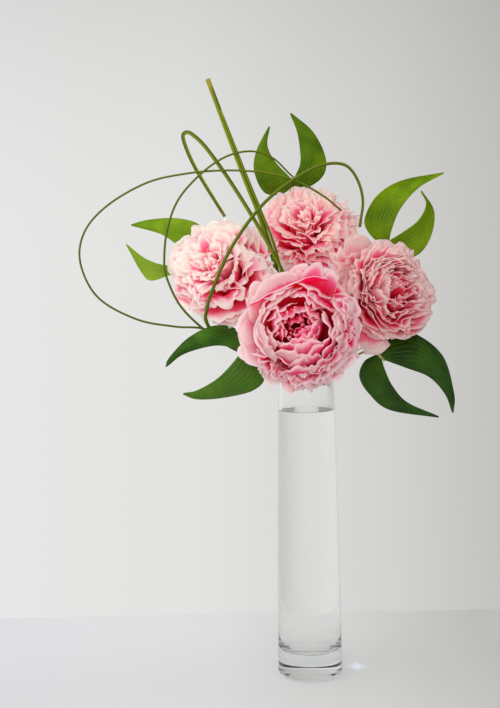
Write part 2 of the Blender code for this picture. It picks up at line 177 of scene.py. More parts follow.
def fade(value, start_at, end_at):
    """0 where value is at start_at, 1 at end_at, and a smooth step between."""
    settings = {"interpolation_type": "SMOOTHSTEP"}
    return value.add("MapRange", settings, {"Value": value, "From Min": start_at, "From Max": end_at})


def object_place(tree):
    """Where a point lies in the whole arrangement, in metres."""
    return tree.add("TexCoord", output=3)


def flat_place(tree, flat_map):
    """Where a point lies on its piece's own UV map."""
    return tree.add("UVMap", {"uv_map": flat_map})


def split(wire):
    """The three parts of a vector."""
    parts = wire.add("SeparateXYZ", inputs={0: wire})
    return [Wire(wire.tree, parts.socket.node.outputs[index]) for index in range(3)]


def vector_maths(operation, *values, output=0):
    """Vector maths on wires or vectors. Output 1 is the one for a single number."""
    return values[0].add("VectorMath", {"operation": operation}, dict(enumerate(values)), output)


def cloudy(place, scale, detail=2.0):
    """Smooth noise over a place."""
    return place.add("TexNoise", inputs={"Vector": place, "Scale": scale, "Detail": detail})


def colour_ramp(value, *stops):
    """A colour that changes with a value, through stops of a position and a colour."""
    return value.add("ValToRGB", {"stops": stops}, {"Fac": value})


def relief(height, strength, distance):
    """A bump that follows a height, up to a distance in metres."""
    return height.add("Bump", inputs={"Height": height, "Strength": strength, "Distance": distance})


def skin(colour, roughness, gloss, bump):
    """The opaque surface of a plant."""
    return colour.add("BsdfPrincipled", inputs={
        "Base Color": colour, "Roughness": roughness, "Specular IOR Level": gloss, "Normal": bump})


def thin_skin(through, colour, roughness, gloss, bump):
    """The surface of a petal or a leaf, which lets this share of the light through."""
    glow = colour.add("BsdfTranslucent", inputs={"Color": colour, "Normal": bump})
    return colour.add("MixShader", inputs={0: through, 1: skin(colour, roughness, gloss, bump), 2: glow})


def finish_material(material, tree, shader):
    """Joins a shader to its material's output."""
    tree.add("OutputMaterial", inputs={"Surface": shader})
    print("material", material.name, "with", len(material.node_tree.nodes), "nodes")
    return material


# %% [markdown]
# ## Finished pieces
# Each part is modelled in a bmesh. A bmesh becomes an object at the origin, wearing one material, with its
# place in its mesh. It rides on the one body of the arrangement and stands for the CAD solids that it
# covers, which are hidden. Thin parts are modelled as one sheet: Subdivision rounds petals and sepals, and
# Solidify then gives petals, sepals and leaves two sides and an edge.

# %% From bmesh to piece
def piece_from(name, bm, look, nodes, levels=0, thickness_mm=0.0):
    """Turns a bmesh into a finished piece that replaces these CAD nodes."""
    mesh = bpy.data.meshes.new(name)
    bm.to_mesh(mesh)
    bm.free()
    mesh.materials.append(look)
    mesh.polygons.foreach_set("use_smooth", [True] * len(mesh.polygons))
    piece = bpy.data.objects.new(name, mesh)
    bpy.context.scene.collection.objects.link(piece)
    if levels:
        rounding = piece.modifiers.new("rounding", "SUBSURF")
        rounding.levels = levels
        rounding.render_levels = levels
    if thickness_mm:
        thickness = piece.modifiers.new("thickness", "SOLIDIFY")
        thickness.thickness = thickness_mm * MM
        thickness.offset = 0.0
    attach(piece, "root")
    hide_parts(*nodes)
    print(name, len(mesh.polygons), "faces before modifiers, for", ", ".join(nodes))


# %% [markdown]
# ## The vase
# The vase is a tumbler of clear blown glass, nearly a cylinder, with a heavy base and a wall that draws in
# a little towards a rounded lip. A turned form is one profile spun round an axis, so the profile is drawn
# once, from the middle of the foot, up the outside, over the lip and down the inside.

# %% Vase sizes
VASE_HEIGHT = 306.0
VASE_BASE_RADIUS = 32.6
VASE_NECK_LOSS = 4.7
VASE_TAPER_POWER = 1.3
VASE_WALL = 3.0
VASE_FLOOR = 25.0
FOOT_ROUND = 3.6
PUNT_RADIUS = 27.5
PUNT_DEPTH = 5.4  # the underside is pushed up a little, so that the vase stands on a ring
FLOOR_CORNER = 8.0
WATER_LEVEL = 270.0
WALL_RING = 20.0  # height from one ring of points on the wall to the next
FLOOR_RING = 12.0  # radius of a ring of points on the flat floor
TURN_STEPS = 96
CREASE = 0.4  # where a long face ends, so that its shading stays flat up to the bend
GAP = 0.35  # the CAD model's clearance between parts


def vase_radius(height):
    """Outer radius of the vase, in millimetres."""
    return VASE_BASE_RADIUS - VASE_NECK_LOSS * (height / VASE_HEIGHT) ** VASE_TAPER_POWER


def bore_radius(height):
    """Inner radius of the vase, in millimetres."""
    return vase_radius(height) - VASE_WALL


def arc(centre, radius, first, last, steps):
    """Points of an arc as (radius, height) pairs. Angles go from straight out, up."""
    turns = [radians(first + (last - first) * step / steps) for step in range(steps + 1)]
    return [(centre[0] + radius * cos(turn), centre[1] + radius * sin(turn)) for turn in turns]


def turned(profile):
    """Spins a profile, whose ends lie on the axis, into one closed body."""
    bm = bmesh.new()
    verts = [bm.verts.new((radius * MM, 0.0, height * MM)) for radius, height in profile]
    edges = [bm.edges.new(pair) for pair in zip(verts, verts[1:])]
    bmesh.ops.spin(bm, geom=verts + edges, cent=(0, 0, 0), axis=(0, 0, 1), angle=2 * pi,
                   steps=TURN_STEPS, use_merge=True)
    bmesh.ops.remove_doubles(bm, verts=bm.verts, dist=1e-6)
    bmesh.ops.recalc_face_normals(bm, faces=bm.faces)
    return bm


print("vase:", VASE_HEIGHT, "mm high,", 2 * VASE_BASE_RADIUS, "mm wide at its base and",
      round(2 * vase_radius(VASE_HEIGHT), 1), "mm at its rim")

# %% [markdown]
# Clear glass is all reflection and refraction, so its colour hardly matters: a trace of blue-green stands
# for the iron in it. The water is a second clear body. Its sides reach a hair's breadth into the glass, so
# that light bends straight from glass to water, with no film of air between them.

# %% Glass and water materials
def clear_look(name, tint, ior, depth_tint=None, density=0.0):
    """A clear solid. Shadow rays pass it, so that lamps light what stands inside and behind it."""
    material, tree = start(name)
    solid = tree.add("BsdfPrincipled", inputs={
        "Base Color": tint, "Roughness": 0.0, "IOR": ior, "Transmission Weight": 1.0})
    open_way = tree.add("BsdfTransparent", inputs={"Color": (0.96, 0.97, 0.97, 1.0)})
    is_shadow = tree.add("LightPath", output=1)
    output = {"Surface": tree.add("MixShader", inputs={0: is_shadow, 1: solid, 2: open_way})}
    if depth_tint:
        output["Volume"] = tree.add("VolumeAbsorption", inputs={"Color": depth_tint, "Density": density})
    tree.add("OutputMaterial", inputs=output)
    print("material", name)
    return material


GLASS_IOR = 1.50
WATER_IOR = 1.33
glass_look = clear_look("clear_glass_finish", (0.996, 1.0, 0.998, 1.0), GLASS_IOR,
                        (0.34, 0.62, 0.66, 1.0), 0.7)
water_look = clear_look("still_water_finish", (0.996, 0.997, 0.988, 1.0), WATER_IOR)

# %% Vase
lip = VASE_WALL / 2
lip_middle = (vase_radius(VASE_HEIGHT) - lip, VASE_HEIGHT - lip)
inner_corner = bore_radius(VASE_FLOOR) - FLOOR_CORNER
foot_middle = (VASE_BASE_RADIUS - FOOT_ROUND, FOOT_ROUND)
corner_middle = (inner_corner, VASE_FLOOR + FLOOR_CORNER)
heights = [WALL_RING * step for step in range(1, int(VASE_HEIGHT / WALL_RING))]
inner_heights = [height for height in heights if height > corner_middle[1]]
vase_profile = [(PUNT_RADIUS * share, PUNT_DEPTH * cos(share * pi / 2))
                for share in (0, 0.2, 0.4, 0.6, 0.8, 1)]
vase_profile += [(foot_middle[0] - CREASE, 0.0)]
vase_profile += arc(foot_middle, FOOT_ROUND, -90, 0, 6)
vase_profile += [(vase_radius(height), height)
                 for height in (FOOT_ROUND + CREASE, *heights, lip_middle[1] - CREASE)]
vase_profile += arc(lip_middle, lip, 0, 180, 10)
vase_profile += [(bore_radius(height), height)
                 for height in (lip_middle[1] - CREASE, *reversed(inner_heights), corner_middle[1] + CREASE)]
vase_profile += arc(corner_middle, FLOOR_CORNER, 0, -90, 8)
vase_profile += [(inner_corner - CREASE, VASE_FLOOR), (FLOOR_RING, VASE_FLOOR), (0.0, VASE_FLOOR)]
piece_from("glass_vase", turned(vase_profile), glass_look, ["vase_glass"])

# %% Water
SOAK = 0.06  # how far the water reaches into the glass
MENISCUS = 0.6  # how far the water climbs the wall
MENISCUS_EDGE = 0.1  # the bevel at the top of that climb
MENISCUS_CURVE = ((0.3, 0.2), (0.7, 0.04), (1.2, 0.0), (2.0, 0.0))  # in from the wall, and up
water_top = (WATER_LEVEL - CREASE, WATER_LEVEL + MENISCUS - MENISCUS_EDGE, WATER_LEVEL + MENISCUS)
water_wall = bore_radius(WATER_LEVEL) + SOAK
wet_heights = [height for height in inner_heights if height < WATER_LEVEL]
water_profile = [(radius, VASE_FLOOR - SOAK) for radius in (0.0, FLOOR_RING, inner_corner - CREASE)]
water_profile += arc(corner_middle, FLOOR_CORNER + SOAK, -90, 0, 8)
water_profile += [(bore_radius(height) + SOAK, height)
                  for height in (corner_middle[1] + CREASE, *wet_heights, *water_top)]
water_profile += [(water_wall - MENISCUS_EDGE, WATER_LEVEL + MENISCUS - MENISCUS_EDGE)]
water_profile += [(water_wall - inwards, WATER_LEVEL + up) for inwards, up in MENISCUS_CURVE]
water_profile += [(0.0, WATER_LEVEL)]
piece_from("vase_water", turned(water_profile), water_look, ["water"])

# %% [markdown]
# ## Routes
# Stems, leaf stalks and blades all follow smooth curves through a few known points. Most of them stand
# against the inside of the neck and lean out over the lip. Three blades rise clear of both. A part drawn
# along such a route is a grid rolled up round it: its columns go round, its rows go along, and the seam is
# welded.

# %% Curves and sweeps
def smooth_route(points, steps):
    """Points on the Catmull-Rom curve through a route's own points, in metres."""
    knots = [Vector(point) * MM for point in points]
    knots = [2 * knots[0] - knots[1], *knots, 2 * knots[-1] - knots[-2]]
    spans = len(knots) - 3
    route = []
    for step in range(steps + 1):
        along = min(step * spans / steps, spans - 1e-9)
        first = int(along)
        t = along - first
        a, b, c, d = knots[first:first + 4]
        route.append(0.5 * (2 * b + (c - a) * t + (2 * a - 5 * b + 4 * c - d) * t * t
                            + (3 * b - a - 3 * c + d) * t * t * t))
    return route


def bent_route(points, span_steps):
    """Points on a smooth curve through unevenly spaced points, in metres, without kinks at short spans."""
    knots = [Vector(point) * MM for point in points]
    knots = [2 * knots[0] - knots[1], *knots, 2 * knots[-1] - knots[-2]]
    lengths = [(b - a).length for a, b in zip(knots, knots[1:])]
    slopes = [((b - a) * (after / before) + (c - b) * (before / after)) / (before + after)
              for a, b, c, before, after in zip(knots, knots[1:], knots[2:], lengths, lengths[1:])]
    route = []
    for begin, end, leave, arrive, length in zip(knots[1:], knots[2:-1], slopes, slopes[1:], lengths[1:]):
        for step in range(span_steps):
            t = step / span_steps
            route.append(begin * (2 * t ** 3 - 3 * t ** 2 + 1) + leave * (length * (t ** 3 - 2 * t ** 2 + t))
                         + end * (3 * t ** 2 - 2 * t ** 3) + arrive * (length * (t ** 3 - t ** 2)))
    return [*route, knots[-2]]


STEM_CUT = 294.0  # height of the cut ends, above the water
NECK_GAP = 3 * GAP
NECK_LEAN = 45


def neck_knots(azimuth, radius):
    """Where a stem stands against the inside of the neck and leans out over the rounded lip."""
    lip_circle = vase_radius(VASE_HEIGHT) - lip
    inside = lip_circle - lip - radius - NECK_GAP
    clear = lip + radius + NECK_GAP
    lean = radians(NECK_LEAN)
    rise = ((inside, STEM_CUT), (inside - GAP, VASE_HEIGHT - 5),
            (lip_circle - clear * sin(lean), VASE_HEIGHT - lip + clear * cos(lean)))
    around = radians(azimuth)
    return [(reach * cos(around), reach * sin(around), height) for reach, height in rise]


def frames_along(route, flat_to_front):
    """Sideways and front directions for each point of a route. A blade keeps its flat side to the front;
    a stem carries its directions along without twisting."""
    frames = []
    sideways = None
    for step in range(len(route)):
        along = (route[min(step + 1, len(route) - 1)] - route[max(step - 1, 0)]).normalized()
        if flat_to_front or sideways is None:
            sideways = along.cross(Vector((0, 1, 0)))
        sideways = (sideways - along * sideways.dot(along)).normalized()
        frames.append((sideways, along.cross(sideways)))
    return frames


def sweep(bm, route, section, sides, flat_to_front=False):
    """Rolls a grid up round a route. section(turn, share) gives the offsets sideways and to the front, in
    millimetres, of the point at that share of a turn and that share of the length."""
    steps = len(route) - 1
    frames = frames_along(route, flat_to_front)
    grid = bmesh.ops.create_grid(bm, x_segments=sides, y_segments=steps, size=1.0)
    uv = bm.loops.layers.uv["length"]
    for vert in grid["verts"]:
        turn, share = (vert.co.x + 1) / 2, (vert.co.y + 1) / 2
        for loop in vert.link_loops:
            loop[uv].uv = (turn, share)
        step = round(share * steps)
        sideways, front = frames[step]
        across, out = section(turn, share)
        vert.co = route[step] + (sideways * across + front * out) * MM
    bmesh.ops.remove_doubles(bm, verts=grid["verts"], dist=1e-7)
    bmesh.ops.holes_fill(bm, edges=[edge for edge in bm.edges if edge.is_boundary], sides=0)
    bmesh.ops.recalc_face_normals(bm, faces=bm.faces)


def strand_bmesh():
    """An empty bmesh with the UV map that strands are drawn on: U goes round, V from base to tip."""
    bm = bmesh.new()
    bm.loops.layers.uv.new("length")
    return bm


# %% [markdown]
# ## The peonies' stems
# A cut peony stem is a firm green rod, as thick as a pencil, with faint ridges and a reddish blush. Each
# one rises from the neck of the vase and bends over below its head, so that it meets the head square on.

# %% Flower places
# The middle of a head and its radius; the way it faces; its turn about its axis, and where round the neck
# its stem stands, in degrees; the stem's next points; and the angles at which its guard petals' tips lie.
Head = namedtuple("Head", "name centre radius facing turn neck stem reach")
HEADS = (
    Head("front", (-9, -72, 356), 59, (-0.05, -0.98, 0.14), 12, 256,
         ((-5.0, -19.4, 320), (-5.6, -17.5, 330)), (104, 96, 100, 90, 98, 94)),
    Head("left", (-83, -5, 411), 53, (-0.32, -0.88, 0.34), 40, 165,
         ((-28, 12, 318), (-50, 31, 360)), (96, 92, 100, 94, 90, 98)),
    Head("top", (5, 45, 452), 48, (0.06, -0.78, 0.62), 5, 88,
         ((1.4, 30, 326), (2.6, 62, 378)), (92, 96, 90, 98, 94, 90)),
    Head("right", (82, 0, 388), 50, (0.34, -0.88, 0.26), 20, 22,
         ((28, 13, 317), (50, 32, 346)), (98, 92, 104, 94, 90, 96)),
)
HEAD_BACK = 0.60  # depth of a head behind its widest circle, as a share of its radius
HEAD_FRONT = 0.72
STEM_RADIUS = 3.2
STEM_STRAIGHT = 4.0  # below the head
STEM_BEND = 9.0  # radius of the bend below that
SPAN_STEPS = 6  # points on a stem between two of its route's own points
UNDERSIDE = 10.05  # from a head's back to the flat underside of its receptacle


def head_matrix(head):
    """A head's own axes: +Z looks out of the flower, and the origin is the middle of its widest circle."""
    pose = Vector(head.facing).normalized().to_track_quat("Z", "Y").to_matrix().to_4x4()
    pose.translation = Vector(head.centre) * MM
    return pose


def stem_route(head):
    """The points that a flower stem follows, from its cut end to the receptacle."""
    back = -Vector(head.facing).normalized()
    seat = Vector(head.centre) + back * (HEAD_BACK * head.radius + UNDERSIDE + 2 * GAP)
    level = seat + back * STEM_STRAIGHT
    down = Vector(head.stem[-1]) - seat
    down = (down - back * down.dot(back)).normalized()
    middle = level + down * STEM_BEND
    bend = [middle + (back * sin(turn) - down * cos(turn)) * STEM_BEND for turn in (pi / 2, pi / 4)]
    return bent_route([*neck_knots(head.neck, STEM_RADIUS), *head.stem, *bend, level, seat],
                      SPAN_STEPS)


for head in HEADS:
    print(head.name, "head:", 2 * head.radius, "mm wide, stem from", head.neck, "degrees round the neck")

# %% Stem material
def strand_field(tree, stretch_round, stretch_along, detail=3.0):
    """Noise drawn out along a strand, so that it reads as streaks."""
    place = flat_place(tree, "length")
    drawn_out = tree.add("Mapping", inputs={"Vector": place, "Scale": (stretch_round, stretch_along, 1.0)})
    return cloudy(drawn_out, 1.0, detail)


def stem_look(name, shade, light, blush):
    """Streaks of a shade and a light, and spots of a blush that get more towards the top."""
    material, tree = start(name)
    streak = strand_field(tree, 26.0, 3.0)
    _, along, _ = split(flat_place(tree, "length"))
    green = blend(fade(streak, 0.35, 0.65), shade, light)
    spots = cloudy(object_place(tree), 180.0)
    colour = blend(fade(spots + along * 0.15, 0.58, 0.85), green, blush)
    return finish_material(material, tree, skin(colour, 0.48, 0.45, relief(streak, 0.35, 0.0004)))


flower_stem_look = stem_look("flower_stem_finish", display(86, 112, 44), display(128, 152, 74),
                             display(140, 96, 70))

# %% Flower stems
STEM_SIDES = 20
RIDGES = 5
LEAF_SCAR = 0.62  # where a leaf was taken off, as a share of the length, and how long that swelling is
SCAR_REACH = 0.05


def stem_section(turn, share):
    """A round stem with faint ridges, and a swelling where a leaf was taken off."""
    ridges = 1 + 0.035 * cos(turn * 2 * pi * RIDGES)
    node_swell = 1 + 0.16 * max(0.0, 1 - abs(share - LEAF_SCAR) / SCAR_REACH) ** 2
    radius = STEM_RADIUS * 0.97 * ridges * node_swell
    return radius * cos(turn * 2 * pi), radius * sin(turn * 2 * pi)


for head in HEADS:
    bm = strand_bmesh()
    sweep(bm, stem_route(head), stem_section, STEM_SIDES)
    piece_from(f"{head.name}_flower_stem", bm, flower_stem_look, [f"peony_{head.name}_stem"])

# %% [markdown]
# ## A petal
# Every petal is a sheet that is narrow at its claw and broad at its tip. Its middle line lies in a plane
# through the flower's axis and is a Bezier curve: it leaves the base at one angle and ends at another,
# which decides whether the petal flares out or curls in. Across, the sheet cups round the axis. Its free
# end ruffles, its margin is notched, and it can fold along its middle. All of that is one formula moving
# the vertices of a grid, and a table of whorls says how the formula's numbers change from the outer
# petals to the heart.

# %% Petal numbers
Petal = namedtuple("Petal", "around tip reach half_width claw begin end handle cup ruffle waves notch "
                            "fold twist sway taper pale")
PETAL_COLUMNS = 16
PETAL_ROWS = 6
ATLAS_SIDE = 12  # petals along each side of a baking map
NOISE_SEED = 4
noise.seed_set(NOISE_SEED)  # without it, Blender shifts its vector noise by the time of day
print("a petal's grid:", PETAL_COLUMNS, "by", PETAL_ROWS)

# %% The curve of a petal
def heading(angle):
    """A direction in a half plane through the axis: 0 degrees is forward along it, 90 straight out."""
    return Vector((sin(radians(angle)), cos(radians(angle))))


def tip_place(head, angle, reach):
    """Where a petal's tip lies in its half plane, in millimetres: out from the axis, and forward."""
    depth = (HEAD_FRONT if angle < 90 else HEAD_BACK) * head.radius
    return Vector((head.radius * reach * sin(radians(angle)), depth * reach * cos(radians(angle))))


def bezier(points, t):
    """A point on a cubic Bezier curve and the unit direction there."""
    a, b, c, d = points
    s = 1 - t
    place = a * s ** 3 + b * (3 * s * s * t) + c * (3 * s * t * t) + d * t ** 3
    slope = (b - a) * (s * s) + (c - b) * (2 * s * t) + (d - c) * (t * t)
    return place, slope.normalized()


def petal_width(along, claw, taper):
    """Share of the full width at a share of the length: a narrow claw that opens into a broad blade, which
    may draw in again towards its tip."""
    opening = sin(min(along / 0.86, 1.0) * pi / 2)
    closing = 1 - 0.05 * max(0.0, (along - 0.80) / 0.20) ** 2
    return (claw + (1 - claw) * opening ** 1.4) * closing * (1 - taper * along ** 3)


def middle_line(head, petal):
    """The four points of a petal's middle line, from its claw to its tip, in millimetres."""
    radius = head.radius
    base = Vector((radius * (0.05 + 0.10 * petal.tip / 90), -radius * (0.42 + 0.12 * petal.tip / 90)))
    tip = tip_place(head, petal.tip, petal.reach)
    handle = (tip - base).length * petal.handle
    return base, base + heading(petal.begin) * handle, tip - heading(petal.end) * handle, tip


# %% The edge and the ruffles of a petal
Chance = namedtuple("Chance", "teeth phases seed lobes")
NOISE_SPAN = 90  # petals start anywhere in this length of the noise
TOOTH = 0.50  # depth of the small teeth, against the scallops
CORNER = 0.20  # how much shorter a petal is at its corners
WANDER_GRAIN = 0.045  # per millimetre


def draw_chance(rng, columns):
    """What differs from petal to petal: its teeth, the phases of its waves, its place in the noise and the
    number of its lobes."""
    teeth = [rng.random() ** 2 for _ in range(columns + 1)]
    phases = [rng.uniform(0, 2 * pi) for _ in range(4)]
    seed = Vector([rng.uniform(0, NOISE_SPAN) for _ in range(3)])
    return Chance(teeth, phases, seed, rng.uniform(0.7, 1.7))


def petal_end(petal, chance, across):
    """How far along its length a petal reaches, from -1 at one side across to 1 at the other."""
    scallop = (1 - abs(sin(across * pi * chance.lobes + chance.phases[3]))) ** 3
    tooth = chance.teeth[round((across + 1) / 2 * (len(chance.teeth) - 1))]
    ragged = petal.notch * (scallop + TOOTH * tooth)
    return 1 - CORNER * abs(across) ** 3.2 - ragged


def petal_ruffle(petal, chance, across, t):
    """How far the ruffles lift a petal's surface: most at its free end and towards its sides."""
    wave = sin(across * pi * petal.waves + chance.phases[0])
    wave += 0.5 * sin(across * pi * (2 * petal.waves + 0.7) + chance.phases[1] + 2 * t)
    wave += 0.6 * sin(t * 7 + chance.phases[2]) * across
    return petal.ruffle * wave * t ** 2.4 * (0.40 + 0.60 * abs(across))


# %% The surface of a petal
def petal_point(head, petal, line, chance, across, along):
    """The point of a petal at this place across, -1 to 1, and along, 0 to 1, in millimetres."""
    t = along * (1 - (1 - petal_end(petal, chance, across)) * along ** 2)
    place, slope = bezier(line, t)
    side = across * petal.half_width * head.radius * petal_width(t, petal.claw, petal.taper)
    bend = petal.cup * head.radius
    sideways = bend * sin(side / bend)
    lift = bend * (1 - cos(side / bend)) - petal.fold * abs(side)
    lift += petal_ruffle(petal, chance, across, t)
    turn = radians(petal.twist) * min(t * 1.6, 1.0)
    sideways, lift = (sideways * cos(turn) - lift * sin(turn), sideways * sin(turn) + lift * cos(turn))
    point = Vector((place.x - slope.y * lift, sideways, place.y + slope.x * lift))
    wander = noise.noise_vector(point * WANDER_GRAIN + chance.seed)
    point += wander * (petal.ruffle * 2.0 * t)
    around = radians(petal.around + petal.sway * t * t)
    return Vector((point.x * cos(around) - point.y * sin(around),
                   point.x * sin(around) + point.y * cos(around), point.z))


def grow_petal(bm, head, number, petal, rng, columns=PETAL_COLUMNS, rows=PETAL_ROWS):
    """Adds one petal to a bmesh, in the head's own axes and in metres. On its pattern map, U holds its
    number and its width, and V its length."""
    line = middle_line(head, petal)
    chance = draw_chance(rng, columns)
    grid = bmesh.ops.create_grid(bm, x_segments=columns, y_segments=rows, size=1.0)
    pattern = bm.loops.layers.uv["petal"]
    atlas = bm.loops.layers.uv["OFBake"]
    cell_row, cell_column = divmod(number, ATLAS_SIDE)
    for vert in grid["verts"]:
        across = vert.co.x
        along = (vert.co.y + 1) / 2
        share = (across + 1) / 2
        for loop in vert.link_loops:
            loop[pattern].uv = (number + 0.02 + 0.96 * share, petal.pale + (1 - petal.pale) * along)
            loop[atlas].uv = ((cell_column + 0.04 + 0.92 * share) / ATLAS_SIDE,
                              (cell_row + 0.04 + 0.92 * along) / ATLAS_SIDE)
        vert.co = petal_point(head, petal, line, chance, across, along) * MM
    return grid["verts"]


# %% [markdown]
# Neighbouring heads press on each other. A vertex that strays into another head's egg-shaped space is
# slid out to that egg's skin, and so a petal bends round its neighbour as a real one does. In the same way
# petals give way to the blade of grass that lies across the left head.

# %% Heads keep their distance
EGG_SKIN = 0.97
EGG_CORE = 0.45  # a vertex deeper in another head than this is left there, out of sight
PRESS_REACH = 10.0  # how far from a blade it still presses on petals
PRESS_CLEAR = 2.4  # how far behind the blade's middle line they then lie
PRESS_SPRING = 7.0  # how much farther forward they may stand at the end of that reach
ARCH_OVER_LEFT = smooth_route(((-98, -30, 366), (-96.5, -37, 375), (-92, -44, 389.5), (-75, -50, 427),
                               (-52, -42, 461)), 60)


def egg_share(head, point):
    """How far out a point is in a head's egg, where 1 is on its skin, and the point in that head's axes."""
    own = head_matrix(head).inverted() @ point / MM
    depth = (HEAD_FRONT if own.z > 0 else HEAD_BACK) * head.radius
    return sqrt((own.x ** 2 + own.y ** 2) / head.radius ** 2 + (own.z / depth) ** 2), own


def make_room(head, verts):
    """Puts a head's petals in place and slides them out of the other heads."""
    pose = head_matrix(head)
    inverses = [(other, head_matrix(other)) for other in HEADS if other.name != head.name]
    for vert in verts:
        vert.co = pose @ vert.co
        for other, other_pose in inverses:
            share, own = egg_share(other, vert.co)
            if EGG_CORE < share < EGG_SKIN:
                vert.co = other_pose @ (own * (EGG_SKIN / share) * MM)


def give_way(route, verts):
    """Presses petals back behind a blade of grass that lies across them."""
    for vert in verts:
        near = min(route, key=lambda point: (point.x - vert.co.x) ** 2 + (point.z - vert.co.z) ** 2)
        apart = sqrt((near.x - vert.co.x) ** 2 + (near.z - vert.co.z) ** 2) / MM
        if apart < PRESS_REACH:
            pressed = near.y + (PRESS_CLEAR - PRESS_SPRING * (apart / PRESS_REACH) ** 2) * MM
            vert.co.y = max(vert.co.y, pressed)


def petal_bmesh():
    """An empty bmesh with a petal's two UV maps: one for its pattern, one for baking."""
    bm = bmesh.new()
    bm.loops.layers.uv.new("petal")
    bm.loops.layers.uv.new("OFBake")
    return bm


print("points along the blade over the left head:", len(ARCH_OVER_LEFT))

# %% [markdown]
# ## Petal finish
# A peony petal is matt and thin. It is palest at its margin, warm pink in its middle and deep rose at its
# claw, with fine streaks that fan out from the claw. Light comes through it, so the shader mixes an opaque
# matt surface with a translucent one. Each petal's number gives it a slightly different tone.

# %% Petal material
def petal_look(name, head, deep, middle, pale, rim, through, reach):
    """reach says how far up the petal its deep, middle and pale colours go."""
    material, tree = start(name)
    spot = object_place(tree)
    from_centre = vector_maths("SUBTRACT", spot, Vector(head.centre) * MM)
    painted_lit_side = vector_maths("DOT_PRODUCT", from_centre, PAINTED_LIGHT[head.name], output=1)
    axis = head_matrix(head).to_3x3() @ Vector((0, 0, 1))
    off_axis = vector_maths("LENGTH", vector_maths("CROSS_PRODUCT", from_centre, axis), output=1)
    core = fade(off_axis, CORE_REACH[head.name] * head.radius * MM, 0.0)
    counted, along, _ = split(flat_place(tree, "petal"))
    number = counted.maths("FLOOR", counted)
    side = abs((counted - number) * 2 - 1)
    chance = tree.add("TexWhiteNoise", {"noise_dimensions": "1D"}, {"W": number})
    fan = tree.add("CombineXYZ", inputs={0: counted * 26.0, 1: along * 2.2, 2: number})
    streak = cloudy(fan, 1.0, 3.0)
    cloud = cloudy(spot, 55.0)
    tone = along + (chance - 0.5) * 0.42 + (cloud - 0.5) * 0.25 + (streak - 0.5) * 0.22 + side ** 2 * 0.12
    # Painted light: the tone rises towards the side of the head that the light falls on, so that side is
    # painted paler.
    tone = tone + painted_lit_side * (PAINTED_LIGHT_BY / (head.radius * MM)) - core * CORE_BY[head.name]
    colour = colour_ramp(tone, (reach[0], deep), (reach[1], middle), (reach[2], pale), (1.0, rim))
    margin = fade(along.maths("MAXIMUM", along, side ** 3 * 0.985), 0.87, 0.97)
    colour = blend(margin * (0.95 - core * CORE_BY[head.name] * CORE_RIM), colour, rim)
    bump = relief(streak, 0.30, 0.0005)
    return finish_material(material, tree, thin_skin(through, colour, 0.62, 0.16, bump))


# %% The colours of each head
Tones = namedtuple("Tones", "deep middle pale rim")


def tones_of(*colours):
    """Four colours as a screen shows them, from a petal's claw to its margin."""
    return Tones(*(display(*colour) for colour in colours))


# Each head has its own colours, partly as real flowers differ and partly as painted shade: the right head,
# on the shaded side, is painted in duller, darker pinks than the left and top heads.
TONES = {
    "front": tones_of((255, 40, 122), (254, 85, 166), (250, 160, 198), (250, 234, 235)),
    "left": tones_of((255, 60, 128), (255, 156, 196), (255, 224, 233), (255, 251, 247)),
    "top": tones_of((255, 58, 138), (255, 150, 200), (255, 216, 231), (255, 244, 240)),
    "right": tones_of((255, 48, 118), (254, 111, 164), (249, 178, 201), (248, 231, 229)),
}
# A head's colour is deepest near its axis: how far out that reaches, in head radii, and by how much.
CORE_REACH = {"front": 0.42, "left": 0.5, "top": 0.5, "right": 0.6}
CORE_BY = {"front": 0.36, "left": 0.10, "top": 0.12, "right": 0.20}
CORE_RIM = 1.5  # the pale margins fade there too, by this many times as much
# Painted light: which way a head's petals are painted paler, towards its lit side, and by how much.
PAINTED_LIGHT = {"front": (-0.85, 0, 0.1), "left": (-0.7, 0, 0.7), "top": (-0.5, 0, 0.85), "right": (0.5, 0, 0.6)}
PAINTED_LIGHT_BY = 0.16
print("colours, from claw to margin, for", ", ".join(TONES))

# %% [markdown]
# ## The flowers
# The front head is a bowl: broad outer petals stand up round nested petals that curl in over a deep rose
# heart. The other three are balls of ruffled petals. All of them are whorls of the same petal, so each head
# is a table with a row for each whorl, and every head draws from its own seeded stream of chance.

# %% Whorls
Whorl = namedtuple("Whorl", "count tip reach half_width begin end cup ruffle waves notch twist "
                            "handle fold loose middle spread stray taper pale",
                   defaults=(0.40, 0.0, 8, 0, 360, 20, 0.0, 0.0))
